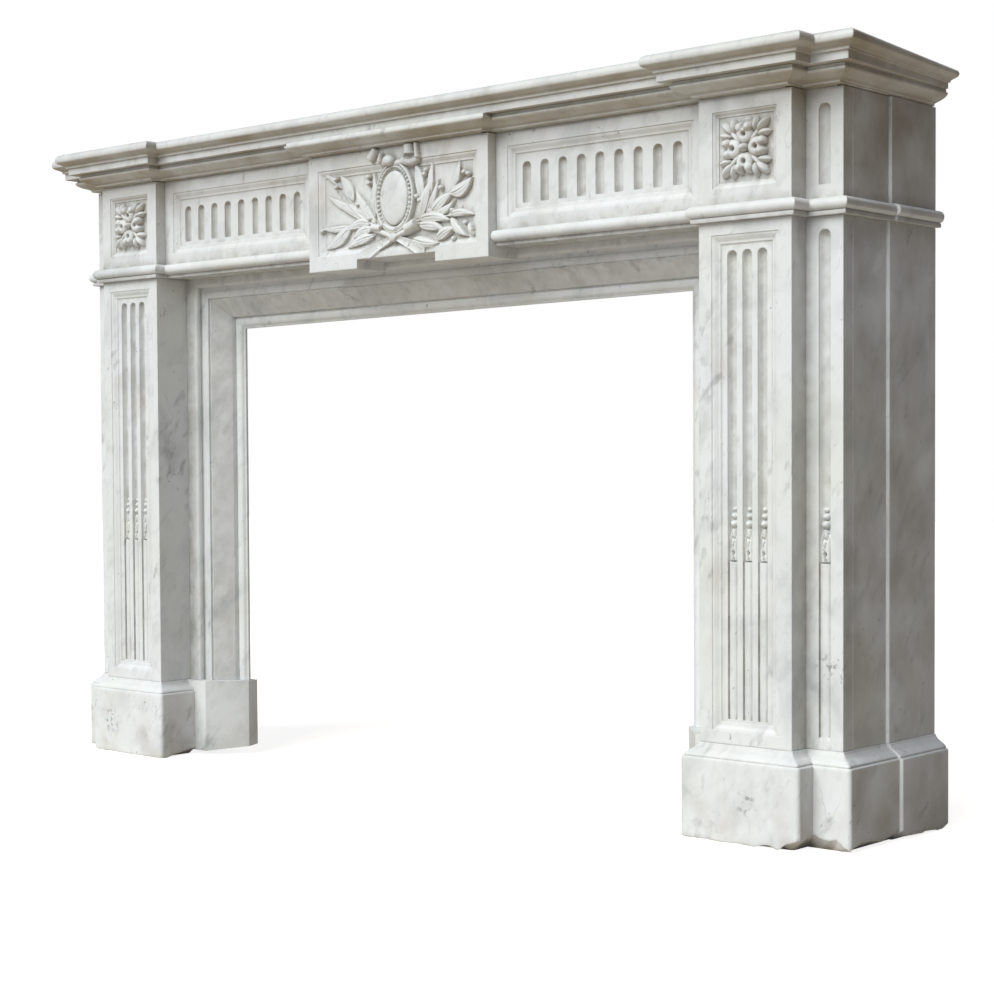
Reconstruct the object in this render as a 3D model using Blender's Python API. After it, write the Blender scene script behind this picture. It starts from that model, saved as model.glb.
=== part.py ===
"""A carved marble mantel: plinths, fluted pilasters, frieze, breakfront shelf and moulded slips.

Metres, +Z up. The mantel faces -Y and its back stands against a wall at +Y. The origin is on
the floor, below the middle of the whole outline. A depth is measured from the face of the
pilasters towards the wall, and hand is +1 for the right-hand pieces and -1 for the left.
"""

import math

import bmesh
import bpy
from mathutils import Matrix, Vector

# Joints between stones
JOINT = 0.0003

# Plan of the pilasters and of the stones beside them
PILASTER_INNER = 0.608
PILASTER_WIDTH = 0.157
STRIP_WIDTH = 0.060
STRIP_SETBACK = 0.037
PANEL_SETBACK = 0.0215
CENTRE_SETBACK = 0.002
CENTRE_HALF = 0.2035
WALL_DEPTH = 0.2835
JAMB_SIDE_JOINT = 0.152
FRIEZE_SIDE_JOINT = 0.158
REAR_PROUD = 0.005
FRONT_SLAB = 0.0702
SIDE_SLAB = 0.040

# Heights of the courses
PLINTH_BLOCK = 0.1154
PLINTH_MOULD = 0.0226
JAMB_HEIGHT = 0.7431
ASTRAGAL_FILLET = 0.0065
ASTRAGAL_ROUND = 0.018
FRIEZE_FACE = 0.1517
BED_MOULD = 0.0245
SHELF_THICKNESS = 0.0382
EAR_DROP = 0.0170
NOTCH_RISE = 0.0152
NOTCH_HALF = 0.089

# Projections
PLINTH_FORE = 0.0178
PLINTH_SIDE = 0.0226
ASTRAGAL_REACH = 0.0145
ASTRAGAL_FILLET_REACH = 0.009
BED_REACH = 0.0289
FASCIA_REACH = 0.0422
NOSING_REACH = 0.0602
SHELF_FORWARD = 0.007
SHELF_DRAWN_IN = 0.004
SHELF_INNER_BREAK = 0.611
SHELF_CENTRE_SETBACK = 0.0234
BED_BREAK_HALF = 0.197
BED_JOINT = 0.500

# Sunk panels, flutes and their filling
FIELD_SINK = 0.0065
FRAME_MARGIN = 0.017
ROSETTE_MARGIN = 0.0105
PANEL_BAND = 0.0225
PANEL_END = 0.023
FRIEZE_PANEL_FOOT = 0.019
FRIEZE_PANEL_HEAD = 0.0215
CENTRE_PANEL_FOOT = 0.0247
CENTRE_PANEL_HEAD = 0.0245
JAMB_PANEL_BAND = 0.0218
JAMB_PANEL_FOOT = 0.0181
JAMB_PANEL_HEAD = 0.0178
FLUTE_DEPTH = 0.0065
JAMB_FLUTES = 3
JAMB_FLUTE_PITCH = 0.0257
JAMB_FLUTE_WIDTH = 0.0160
JAMB_FLUTE_HEAD = 0.0222
JAMB_FLUTE_FOOT = 0.0172
STRIP_FLUTE_WIDTH = 0.019
FRIEZE_FLUTES = 9
FRIEZE_FLUTE_PITCH = 0.0362
FRIEZE_FLUTE_WIDTH = 0.0165
FRIEZE_FLUTE_FOOT = 0.0215
FRIEZE_FLUTE_HEAD = 0.0265
HUSK_TOP = 0.478
HUSK_BOTTOM = 0.399
CABLE_QUIRK = 0.0055
CABLE_CROWN = 0.0010

# Carving
ROSETTE_RISE = 0.0115
MEDALLION_HALF = 0.0335
MEDALLION_TALL = 0.0465
MEDALLION_RISE = 0.011
RING_WIDTH = 0.0045
LEAF_RISE = 0.0085

# Slips: the moulded lining of the fire opening
OPENING_HALF = 0.507
OPENING_HEIGHT = 0.7944
SLIP_FACE = 0.0705
SLIP_BACK = 0.130
SLIP_HIDDEN = 0.022
HEADER_JOINTS = (-0.175, 0.094)
SLIP_PLINTH_FACE = 0.0615
SLIP_PLINTH_STRIP = 0.0522
SLIP_PLINTH_INNER = 0.5015
SLIP_PLINTH_SPLAY = 0.0588
SLIP_PLINTH_BACK = 0.1414
SLIP_PLINTH_LIFT = 0.008

# Values worked out from the sizes above
PILASTER_OUTER = PILASTER_INNER + PILASTER_WIDTH
STRIP_OUTER = PILASTER_OUTER + STRIP_WIDTH
SIDE_INNER = STRIP_OUTER - SIDE_SLAB
REAR_OUTER = STRIP_OUTER + REAR_PROUD
PLINTH_TOP = PLINTH_BLOCK + PLINTH_MOULD
ASTRAGAL_FOOT = PLINTH_TOP + JAMB_HEIGHT
ASTRAGAL_TOP = ASTRAGAL_FOOT + ASTRAGAL_FILLET + ASTRAGAL_ROUND
FRIEZE_TOP = ASTRAGAL_TOP + FRIEZE_FACE
SHELF_FOOT = FRIEZE_TOP + BED_MOULD
SHELF_TOP = SHELF_FOOT + SHELF_THICKNESS
EAR_FOOT = ASTRAGAL_FOOT - EAR_DROP
NOTCH_TOP = EAR_FOOT + NOTCH_RISE
OVERHANG = SHELF_FORWARD + NOSING_REACH
FACE_Y = (OVERHANG - WALL_DEPTH) / 2
SIDE_SPREAD = PLINTH_SIDE / PLINTH_FORE
PILASTER_MIDDLE = PILASTER_INNER + PILASTER_WIDTH / 2
STRIP_MIDDLE = PILASTER_OUTER + STRIP_WIDTH / 2
PLINTH_BACK = SLIP_PLINTH_FACE - JOINT
CUT_CLEAR = 0.004
SINK = 0.0015
ARRIS = 0.0002

HANDS = (("left", -1), ("right", 1))


def spot(x, depth, height):
    """A point given by its distance from the middle, its depth and its height."""
    return Vector((x, FACE_Y + depth, height))


def marble(name, shade, roughness):
    """Dressed white marble: a pale grey-white stone with a low polish."""
    material = bpy.data.materials.new(name)
    material.use_nodes = True
    shader = material.node_tree.nodes["Principled BSDF"]
    shader.inputs["Base Color"].default_value = (*shade, 1)
    shader.inputs["Roughness"].default_value = roughness
    material.diffuse_color = (*shade, 1)
    return material


def loft(mesh, rings):
    """Joins rings of points one after the other and closes both ends."""
    made = [[mesh.verts.new(point) for point in ring] for ring in rings]
    faces = []
    for low, high in zip(made, made[1:]):
        for here in range(len(low)):
            there = (here + 1) % len(low)
            faces.append(mesh.faces.new((low[here], low[there], high[there], high[here])))
    faces.append(mesh.faces.new(made[0]))
    faces.append(mesh.faces.new(made[-1]))
    return faces


def to_object(mesh, name, collection, material=None):
    """Welds the points that meet, turns the faces outwards and makes the object."""
    bmesh.ops.remove_doubles(mesh, verts=mesh.verts, dist=1e-6)
    bmesh.ops.recalc_face_normals(mesh, faces=mesh.faces)
    data = bpy.data.meshes.new(name)
    mesh.to_mesh(data)
    mesh.free()
    thing = bpy.data.objects.new(name, data)
    collection.objects.link(thing)
    if material:
        data.materials.append(material)
        data.shade_smooth()
        data.set_sharp_from_angle(angle=math.radians(35))
    return thing


def stone(name, outline, levels, material, hand=1):
    """A closed stone built on a plan outline, with mouldings drawn by the levels.

    outline holds (x, depth, side, fore, lift): a point moves side and fore times the
    moulding's projection, and lift raises it at the lowest level only. levels holds
    (height, projection), lowest first.
    """
    mesh = bmesh.new()
    rings = []
    for number, (height, reach) in enumerate(levels):
        ring = []
        for x, depth, side, fore, *lift in outline:
            raised = lift[0] if lift and number == 0 else 0
            ring.append(spot(hand * (x + side * reach), depth + fore * reach, height + raised))
        rings.append(ring)
    loft(mesh, rings)
    return to_object(mesh, name, PARTS, material)


def add_boolean(thing, name, operation, mesh, own_overlaps=False):
    """Cuts from the stone, or joins to it, everything drawn in the mesh."""
    tool = to_object(mesh, thing.name + "_" + name, CUTTERS)
    tool.hide_render = True
    tool.display_type = "WIRE"
    modifier = thing.modifiers.new(name, "BOOLEAN")
    modifier.operation = operation
    modifier.object = tool
    modifier.use_self = own_overlaps


def round_levels(foot, height, reach, middle_reach, steps):
    """Levels of a half-round moulding, which swells from middle_reach to reach."""
    levels = []
    for step in range(steps + 1):
        turn = math.pi * step / steps
        level = foot + height * (1 - math.cos(turn)) / 2
        levels.append((level, middle_reach + (reach - middle_reach) * math.sin(turn)))
    return levels


def astragal_levels(foot, top):
    """The fillet and the half-round at the foot of the frieze, then its plain face."""
    round_foot = foot + ASTRAGAL_FILLET
    inner = ASTRAGAL_REACH - ASTRAGAL_ROUND / 2
    levels = [(foot + JOINT, ASTRAGAL_FILLET_REACH), (round_foot, ASTRAGAL_FILLET_REACH)]
    levels += round_levels(round_foot + ARRIS, ASTRAGAL_ROUND - 2 * ARRIS, ASTRAGAL_REACH, inner, 5)
    return levels + [(ASTRAGAL_TOP, 0), (top, 0)]


def plinth_levels():
    """The block, a thin fillet and quirk on its edge, and a cyma up to the face of the jamb."""
    up = PLINTH_BLOCK
    out = PLINTH_FORE
    rise = PLINTH_MOULD - JOINT
    return [
        (0, out),
        (up + 0.12 * rise, out),
        (up + 0.14 * rise, 0.85 * out),
        (up + 0.20 * rise, 0.85 * out),
        (up + 0.45 * rise, 0.62 * out),
        (up + 0.70 * rise, 0.28 * out),
        (up + 0.88 * rise, 0.12 * out),
        (up + rise, 0.08 * out),
    ]


def bed_levels():
    """A small bead, a cove, an ovolo and a fillet below the soffit of the shelf."""
    foot = FRIEZE_TOP + JOINT
    tall = BED_MOULD - 2 * JOINT
    out = BED_REACH
    return [
        (foot, 0.15 * out),
        (foot + 0.05 * tall, 0.24 * out),
        (foot + 0.16 * tall, 0.24 * out),
        (foot + 0.24 * tall, 0.30 * out),
        (foot + 0.36 * tall, 0.58 * out),
        (foot + 0.50 * tall, 0.82 * out),
        (foot + 0.64 * tall, 0.96 * out),
        (foot + 0.78 * tall, out),
        (foot + 0.78 * tall + ARRIS, 0.90 * out),
        (foot + tall, 0.90 * out),
    ]


def shelf_levels():
    """Fascia, fillet, cove and rounded nosing, from the soffit up to the top of the shelf."""
    tall = SHELF_THICKNESS
    curl = NOSING_REACH - FASCIA_REACH
    foot = SHELF_FOOT
    return [
        (foot, FASCIA_REACH),
        (foot + 0.31 * tall, FASCIA_REACH),
        (foot + 0.32 * tall, FASCIA_REACH + 0.20 * curl),
        (foot + 0.40 * tall, FASCIA_REACH + 0.20 * curl),
        (foot + 0.45 * tall, FASCIA_REACH + 0.34 * curl),
        (foot + 0.52 * tall, FASCIA_REACH + 0.68 * curl),
        (foot + 0.60 * tall, FASCIA_REACH + 0.92 * curl),
        (foot + 0.74 * tall, NOSING_REACH),
        (foot + 0.88 * tall, FASCIA_REACH + 0.90 * curl),
        (foot + 0.965 * tall, FASCIA_REACH + 0.68 * curl),
        (foot + tall, FASCIA_REACH + 0.36 * curl),
    ]


def sunk_frame(mesh, left, right, low, high, face, margin):
    """A cutter for a sunk panel: a groove, a flat band, and a slope down to the field."""
    band = 0.35 * margin
    steps = (
        (0, -CUT_CLEAR),
        (0, 0.30 * FIELD_SINK),
        (band, 0.30 * FIELD_SINK),
        (band, 0.62 * FIELD_SINK),
        (0.95 * margin, 0.88 * FIELD_SINK),
        (margin, FIELD_SINK),
    )
    rings = []
    for inset, sink in steps:
        x0, x1, z0, z1 = left + inset, right - inset, low + inset, high - inset
        depth = face + sink
        rings.append([spot(x, depth, z) for x, z in ((x0, z0), (x1, z0), (x1, z1), (x0, z1))])
    loft(mesh, rings)


def hollow_section(middle, half, face, depth, height):
    """Plan of one hollow flute at a height."""
    points = [spot(middle - half, face - CUT_CLEAR, height)]
    sides = 6
    for side in range(sides + 1):
        turn = math.pi * side / sides
        points.append(spot(middle - half * math.cos(turn), face + depth * math.sin(turn), height))
    return points + [spot(middle + half, face - CUT_CLEAR, height)]


def flute(mesh, middle, width, face, foot, head):
    """A cutter for a hollow flute with a flat foot and a round head."""
    half = width / 2
    rings = [hollow_section(middle, half, face, FLUTE_DEPTH, foot)]
    for degrees in (0, 35, 65, 86):
        turn = math.radians(degrees)
        share = math.cos(turn)
        height = head - half + half * math.sin(turn)
        rings.append(hollow_section(middle, half * share, face, FLUTE_DEPTH * share, height))
    loft(mesh, rings)


def cable(mesh, middle, width, face, foot, head):
    """A cutter that leaves a round cable standing in the lower part of a flute."""
    half = width / 2
    section = ((-1, -CUT_CLEAR), (-1, CABLE_QUIRK), (-0.86, CABLE_QUIRK), (-0.5, 0.32 * CABLE_QUIRK))
    section += ((0, CABLE_CROWN),)
    section += tuple((-x, depth) for x, depth in section[3::-1])
    rings = []
    for height in (foot, head):
        rings.append([spot(middle + x * half, face + depth, height) for x, depth in section])
    loft(mesh, rings)


def drop(mesh, middle, face, size):
    """Three beads, growing downwards, and a bellflower, standing in a flute."""
    tall = HUSK_TOP - HUSK_BOTTOM
    floor = face + FLUTE_DEPTH
    for share, radius in ((0.055, 0.24), (0.165, 0.29), (0.295, 0.34)):
        bead = radius * size
        centre = spot(middle, floor - 0.55 * bead, HUSK_TOP - share * tall)
        bmesh.ops.create_icosphere(mesh, subdivisions=1, radius=bead, matrix=Matrix.Translation(centre))
    rings = []
    for share, half, rise in ((0.41, 0.16, 0.2), (0.60, 0.38, 0.34), (0.88, 0.44, 0.36), (1.0, 0.18, 0.25)):
        height = HUSK_TOP - share * tall
        ring = []
        for side in (-1, 0, 1):
            depth = floor + SINK if side else floor - rise * size
            ring.append(spot(middle + side * half * size, depth, height))
        rings.append(ring)
    loft(mesh, rings)


def leaf(mesh, x, z, turn, length, width, floor, rise):
    """A pointed leaf with a ridge, laid on the field and lifting towards its tip."""
    along = Vector((math.sin(turn), 0, math.cos(turn)))
    across = Vector((math.cos(turn), 0, -math.sin(turn)))
    root = spot(x, floor, z)
    rings = []
    for share, half, lift in ((0, 0.14, 0.4), (0.3, 0.8, 0.75), (0.6, 1.0, 1.0), (0.85, 0.6, 0.95), (1, 0.08, 0.8)):
        middle = root + along * (share * length)
        side = across * (half * width / 2)
        top = Vector((0, -rise * lift, 0))
        below = Vector((0, SINK, 0))
        rings.append([middle - side + below, middle + top, middle + side + below])
    loft(mesh, rings)


def bar(mesh, start, end, width, floor, rise):
    """A stem or a ribbon end: a tapering bar from one (x, z) to another."""
    line = Vector((end[0] - start[0], end[1] - start[1]))
    across = Vector((line.y, 0, -line.x)) / line.length * width / 2
    rings = []
    for (x, z), share in ((start, 1), (end, 0.7)):
        middle = spot(x, floor, z)
        top = Vector((0, -rise * share, 0))
        below = Vector((0, SINK, 0))
        side = across * share
        rings.append([middle - side + below, middle - 0.6 * side + top, middle + 0.6 * side + top, middle + side + below])
    loft(mesh, rings)


def swell(mesh, x, z, half_x, half_z, floor, rise, segments, rings):
    """A rounded boss: half of an ellipsoid standing on the field."""
    matrix = Matrix.Translation(spot(x, floor, z))
    matrix @= Matrix.Diagonal((half_x, rise, half_z, 1))
    bmesh.ops.create_uvsphere(mesh, u_segments=segments, v_segments=rings, radius=1, matrix=matrix)


def rosette(mesh, x, z, span, floor):
    """Four round petals, four corner leaves and a bud in a square."""
    for quarter in range(4):
        turn = quarter * math.pi / 2
        diagonal = turn + math.pi / 4
        leaf(mesh, x + 0.12 * span * math.sin(diagonal), z + 0.12 * span * math.cos(diagonal),
             diagonal, 0.48 * span, 0.24 * span, floor, 0.75 * ROSETTE_RISE)
        out = 0.28 * span
        wide, tall = (0.14, 0.19) if quarter % 2 == 0 else (0.19, 0.14)
        swell(mesh, x + out * math.sin(turn), z + out * math.cos(turn),
              wide * span, tall * span, floor, ROSETTE_RISE, 10, 6)
    swell(mesh, x, z, 0.105 * span, 0.105 * span, floor, 1.25 * ROSETTE_RISE, 8, 6)


def bead_ring(mesh, z, floor):
    """The beaded oval frame round the medallion."""
    sides = 24
    loops = []
    for share, lift in ((-1, -SINK), (-0.7, 0.8), (0, 1), (0.7, 0.8), (1, -SINK)):
        loop = []
        for side in range(sides):
            turn = 2 * math.pi * side / sides
            wide = MEDALLION_HALF + 0.0075 + share * RING_WIDTH
            tall = MEDALLION_TALL + 0.0055 + share * RING_WIDTH
            depth = floor - (lift * LEAF_RISE if lift > 0 else lift)
            loop.append(spot(wide * math.sin(turn), depth, z + tall * math.cos(turn)))
        loops.append([mesh.verts.new(point) for point in loop])
    for inner, outer in zip(loops, loops[1:] + loops[:1]):
        for here in range(sides):
            there = (here + 1) % sides
            mesh.faces.new((inner[here], inner[there], outer[there], outer[here]))


def sprays(mesh, z, floor, hand):
    """The laurel spray on one side of the medallion: a stem with leaves along it."""
    root = (hand * 0.012, z - 0.070)
    knee = (hand * 0.075, z - 0.035)
    tip = (hand * 0.135, z + 0.030)
    bar(mesh, root, knee, 0.009, floor, 0.7 * LEAF_RISE)
    bar(mesh, knee, tip, 0.006, floor, 0.6 * LEAF_RISE)
    leaves = (
        (0.052, -0.030, 12, 0.070, 0.018),
        (0.066, -0.034, 30, 0.068, 0.018),
        (0.088, -0.018, 22, 0.055, 0.017),
        (0.105, -0.002, 52, 0.052, 0.018),
        (0.120, 0.012, 28, 0.050, 0.017),
        (0.134, 0.022, 70, 0.030, 0.014),
        (0.084, -0.034, 68, 0.056, 0.018),
        (0.112, -0.020, 96, 0.050, 0.016),
        (0.072, -0.048, 92, 0.056, 0.019),
        (0.110, -0.042, 125, 0.044, 0.017),
    )
    for x, up, degrees, length, width in leaves:
        leaf(mesh, hand * x, z + up, hand * math.radians(degrees), length, width, floor, LEAF_RISE)


def bow(mesh, z, floor):
    """The ribbon bow at the top of the medallion and the knots at its foot."""
    top = z + MEDALLION_TALL + 0.014
    high = 1.5 * LEAF_RISE
    swell(mesh, -0.0055, top, 0.011, 0.011, floor, 1.35 * high, 10, 6)
    for hand in (-1, 1):
        swell(mesh, hand * 0.040, top + 0.008, 0.020, 0.014, floor, high, 10, 6)
        swell(mesh, hand * 0.020, top + 0.001, 0.010, 0.008, floor, 0.9 * high, 8, 6)
        swell(mesh, hand * 0.041, z - 0.048, 0.012, 0.010, floor, high, 8, 6)
        bar(mesh, (hand * 0.006, z - 0.062), (hand * 0.085, z - 0.090), 0.010, floor, 0.6 * LEAF_RISE)


def jamb_outline(inner_depth, side_joint):
    """Plan of a pilaster, the strip beside it and the side up to the joint with the rear slab."""
    return [
        (PILASTER_INNER, inner_depth, -1, 0),
        (PILASTER_INNER, 0, -1, -1),
        (PILASTER_OUTER, 0, 1, -1),
        (PILASTER_OUTER, STRIP_SETBACK, 1, -1),
        (STRIP_OUTER, STRIP_SETBACK, 1, -1),
        (STRIP_OUTER, side_joint - JOINT, 1, 0),
        (SIDE_INNER, side_joint - JOINT, 0, 0),
        (SIDE_INNER, inner_depth, 0, 0),
    ]


def rear_outline(side_joint):
    """Plan of a rear side slab, which stands a little proud of the front one."""
    return [
        (SIDE_INNER, side_joint, 0, 0),
        (REAR_OUTER, side_joint, 1, 0),
        (REAR_OUTER, WALL_DEPTH, 1, 0),
        (SIDE_INNER, WALL_DEPTH, 0, 0),
    ]


def make_plinth(side, hand):
    """A stepped plinth with its base moulding. The bottom edges are broken as the stone now is."""
    spread = SIDE_SPREAD
    front, strip = 0, STRIP_SETBACK
    if hand > 0:
        front_lifts = ((0.14, 0.004), (0.35, 0.001), (0.62, 0.0015), (0.80, 0), (0.90, 0.0035))
        corner, notch, strip_corner, side_lift = 0.013, 0.020, 0.009, 0.012
        inner = 0.003
    else:
        front_lifts = ((0.5, 0),)
        corner, notch, strip_corner, side_lift = 0.0005, 0.002, 0.002, 0.0
        inner = 0.0
    outline = [
        (PILASTER_INNER, PLINTH_BACK, -spread, 0, 0.011 if hand < 0 else 0),
        (PILASTER_INNER, front, -spread, -1, inner),
    ]
    for share, lift in front_lifts:
        outline.append((PILASTER_INNER + share * PILASTER_WIDTH, front, 0, -1, lift))
    outline += [
        (PILASTER_OUTER, front, spread, -1, corner),
        (PILASTER_OUTER, strip, spread, -1, notch),
        (STRIP_OUTER, strip, spread, -1, strip_corner),
        (STRIP_OUTER, (strip + JAMB_SIDE_JOINT) / 2, spread, 0, 0.6 * side_lift),
        (STRIP_OUTER, JAMB_SIDE_JOINT - JOINT, spread, 0, side_lift),
        (SIDE_INNER, JAMB_SIDE_JOINT - JOINT, 0, 0),
        (SIDE_INNER, PLINTH_BACK, 0, 0),
    ]
    stone("plinth_" + side, outline, plinth_levels(), PLINTH_STONE, hand)
    lift = 0.010 if hand > 0 else 0.001
    rear = [
        (SIDE_INNER, JAMB_SIDE_JOINT, 0, 0),
        (REAR_OUTER, JAMB_SIDE_JOINT, spread, 0, lift),
        (REAR_OUTER, (JAMB_SIDE_JOINT + WALL_DEPTH) / 2, spread, 0, 0.6 * lift),
        (REAR_OUTER, WALL_DEPTH, spread, 0, lift),
        (SIDE_INNER, WALL_DEPTH, 0, 0),
    ]
    stone("plinth_rear_" + side, rear, plinth_levels(), PLINTH_STONE, hand)


def make_jamb(side, hand):
    """A pilaster with three flutes in a sunk panel, and a strip beside it with one flute."""
    levels = [(PLINTH_TOP, 0), (ASTRAGAL_FOOT, 0)]
    jamb = stone("jamb_" + side, jamb_outline(FRONT_SLAB, JAMB_SIDE_JOINT), levels, JAMB_STONE, hand)
    stone("jamb_rear_" + side, rear_outline(JAMB_SIDE_JOINT), levels, JAMB_STONE, hand)
    low, high = PLINTH_TOP + JAMB_PANEL_FOOT, ASTRAGAL_FOOT - JAMB_PANEL_HEAD
    half = PILASTER_WIDTH / 2 - JAMB_PANEL_BAND
    middle = hand * PILASTER_MIDDLE
    panel = bmesh.new()
    sunk_frame(panel, middle - half, middle + half, low, high, 0, FRAME_MARGIN)
    add_boolean(jamb, "panel", "DIFFERENCE", panel)
    flutes, drops = bmesh.new(), bmesh.new()
    foot, head = low + JAMB_FLUTE_FOOT, high - JAMB_FLUTE_HEAD
    for number in range(JAMB_FLUTES):
        x = middle + (number - (JAMB_FLUTES - 1) / 2) * JAMB_FLUTE_PITCH
        flute(flutes, x, JAMB_FLUTE_WIDTH, FIELD_SINK, HUSK_BOTTOM, head)
        cable(flutes, x, JAMB_FLUTE_WIDTH, FIELD_SINK, foot, HUSK_BOTTOM - 2 * JOINT)
        drop(drops, x, FIELD_SINK, JAMB_FLUTE_WIDTH)
    strip = hand * STRIP_MIDDLE
    flute(flutes, strip, STRIP_FLUTE_WIDTH, STRIP_SETBACK, HUSK_BOTTOM, high)
    cable(flutes, strip, STRIP_FLUTE_WIDTH, STRIP_SETBACK, low, HUSK_BOTTOM - 2 * JOINT)
    drop(drops, strip, STRIP_SETBACK, STRIP_FLUTE_WIDTH)
    add_boolean(jamb, "flutes", "DIFFERENCE", flutes)
    add_boolean(jamb, "drops", "UNION", drops, own_overlaps=True)


def make_frieze_corner(side, hand):
    """A corner block with its rosette, the fluted strip beside it and the astragal round its foot."""
    levels = astragal_levels(ASTRAGAL_FOOT, FRIEZE_TOP)
    outline = jamb_outline(FRONT_SLAB, FRIEZE_SIDE_JOINT)
    block = stone("frieze_corner_" + side, outline, levels, FRIEZE_STONE, hand)
    stone("frieze_rear_" + side, rear_outline(FRIEZE_SIDE_JOINT), levels, FRIEZE_STONE, hand)
    low, high = ASTRAGAL_TOP + PANEL_BAND, FRIEZE_TOP - PANEL_BAND + 0.002
    middle = hand * PILASTER_MIDDLE
    half = (high - low) / 2
    cutters = bmesh.new()
    sunk_frame(cutters, middle - half, middle + half, low, high, 0, ROSETTE_MARGIN)
    flute(cutters, hand * STRIP_MIDDLE, STRIP_FLUTE_WIDTH, STRIP_SETBACK, low - 0.003, high)
    add_boolean(block, "panel", "DIFFERENCE", cutters)
    carving = bmesh.new()
    rosette(carving, middle, (low + high) / 2, 2 * (half - ROSETTE_MARGIN), FIELD_SINK)
    add_boolean(block, "rosette", "UNION", carving, own_overlaps=True)


def make_frieze_panel(side, hand):
    """A long panel with nine flutes in a sunk frame, between a corner block and the centre."""
    inner, outer = CENTRE_HALF + JOINT, PILASTER_INNER - JOINT
    outline = [
        (inner, FRONT_SLAB, 0, 0),
        (inner, PANEL_SETBACK, 0, -1),
        (outer, PANEL_SETBACK, -1, -1),
        (outer, FRONT_SLAB, -1, 0),
    ]
    panel = stone("frieze_panel_" + side, outline, astragal_levels(ASTRAGAL_FOOT, FRIEZE_TOP), FRIEZE_STONE, hand)
    low, high = ASTRAGAL_TOP + FRIEZE_PANEL_FOOT, FRIEZE_TOP - FRIEZE_PANEL_HEAD
    near, far = sorted((hand * (inner + PANEL_END), hand * (outer - PANEL_END)))
    frame = bmesh.new()
    sunk_frame(frame, near, far, low, high, PANEL_SETBACK, FRAME_MARGIN)
    add_boolean(panel, "frame", "DIFFERENCE", frame)
    flutes = bmesh.new()
    middle = (near + far) / 2
    for number in range(FRIEZE_FLUTES):
        x = middle + (number - (FRIEZE_FLUTES - 1) / 2) * FRIEZE_FLUTE_PITCH
        flute(flutes, x, FRIEZE_FLUTE_WIDTH, PANEL_SETBACK + FIELD_SINK,
              low + FRIEZE_FLUTE_FOOT, high - FRIEZE_FLUTE_HEAD)
    add_boolean(panel, "flutes", "DIFFERENCE", flutes)


def make_frieze_centre():
    """The projecting centre block: two ears below, and a medallion, bow and laurel in its panel."""
    mesh = bmesh.new()
    shape = (
        (-CENTRE_HALF, EAR_FOOT), (-NOTCH_HALF, EAR_FOOT), (-NOTCH_HALF, NOTCH_TOP), (NOTCH_HALF, NOTCH_TOP),
        (NOTCH_HALF, EAR_FOOT), (CENTRE_HALF, EAR_FOOT), (CENTRE_HALF, FRIEZE_TOP), (-CENTRE_HALF, FRIEZE_TOP),
    )
    loft(mesh, [[spot(x, depth, z) for x, z in shape] for depth in (CENTRE_SETBACK, FRONT_SLAB)])
    block = to_object(mesh, "frieze_centre", PARTS, FRIEZE_STONE)
    low, high = EAR_FOOT + CENTRE_PANEL_FOOT, FRIEZE_TOP - CENTRE_PANEL_HEAD
    half = CENTRE_HALF - PANEL_BAND
    frame = bmesh.new()
    sunk_frame(frame, -half, half, low, high, CENTRE_SETBACK, FRAME_MARGIN)
    add_boolean(block, "panel", "DIFFERENCE", frame)
    floor = CENTRE_SETBACK + FIELD_SINK
    middle = (ASTRAGAL_TOP + FRIEZE_TOP) / 2 - 0.0080
    carving = bmesh.new()
    swell(carving, 0, middle, MEDALLION_HALF, MEDALLION_TALL, floor, MEDALLION_RISE, 20, 8)
    bead_ring(carving, middle, floor)
    bow(carving, middle, floor)
    for hand in (-1, 1):
        sprays(carving, middle, floor, hand)
    add_boolean(block, "carving", "UNION", carving, own_overlaps=True)


def make_bed_mould():
    """The ovolo course between the frieze and the shelf, breaking forward as the frieze does."""
    run = SHELF_CENTRE_SETBACK - SHELF_FORWARD
    block = CENTRE_SETBACK - SHELF_FORWARD
    half = BED_BREAK_HALF
    outline = [(-BED_JOINT, FRONT_SLAB, 0, 0), (-BED_JOINT, run, 0, -1)]
    outline += [(-half, run, -1, -1), (-half, block, -1, -1), (half, block, 1, -1), (half, run, 1, -1)]
    outline += [(BED_JOINT, run, 0, -1), (BED_JOINT, FRONT_SLAB, 0, 0)]
    stone("bed_mould_centre", outline, bed_levels(), SHELF_STONE)
    for side, hand in HANDS:
        start = BED_JOINT + JOINT
        front = break_outline(run)
        outline = [(start, FRONT_SLAB, 0, 0), (start, run, 0, -1)] + front
        outline += [(SHELF_SIDE, FRIEZE_SIDE_JOINT - JOINT, 1, 0), (SIDE_INNER, FRIEZE_SIDE_JOINT - JOINT, 0, 0)]
        outline += [(SIDE_INNER, FRONT_SLAB, 0, 0)]
        stone("bed_mould_" + side, outline, bed_levels(), SHELF_STONE, hand)
        rear = [(SIDE_INNER, FRIEZE_SIDE_JOINT, 0, 0), (SHELF_SIDE, FRIEZE_SIDE_JOINT, 1, 0)]
        rear += [(SHELF_SIDE, WALL_DEPTH, 1, 0), (SIDE_INNER, WALL_DEPTH, 0, 0)]
        stone("bed_mould_rear_" + side, rear, bed_levels(), SHELF_STONE, hand)


def break_outline(run):
    """The run of the shelf and its bed mould round one pilaster and the strip beside it."""
    front = -SHELF_FORWARD
    strip = STRIP_SETBACK - SHELF_FORWARD
    outer = PILASTER_OUTER - SHELF_DRAWN_IN
    return [
        (SHELF_INNER_BREAK, run, -1, -1),
        (SHELF_INNER_BREAK, front, -1, -1),
        (outer, front, 1, -1),
        (outer, strip, 1, -1),
        (SHELF_SIDE, strip, 1, -1),
    ]


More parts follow.
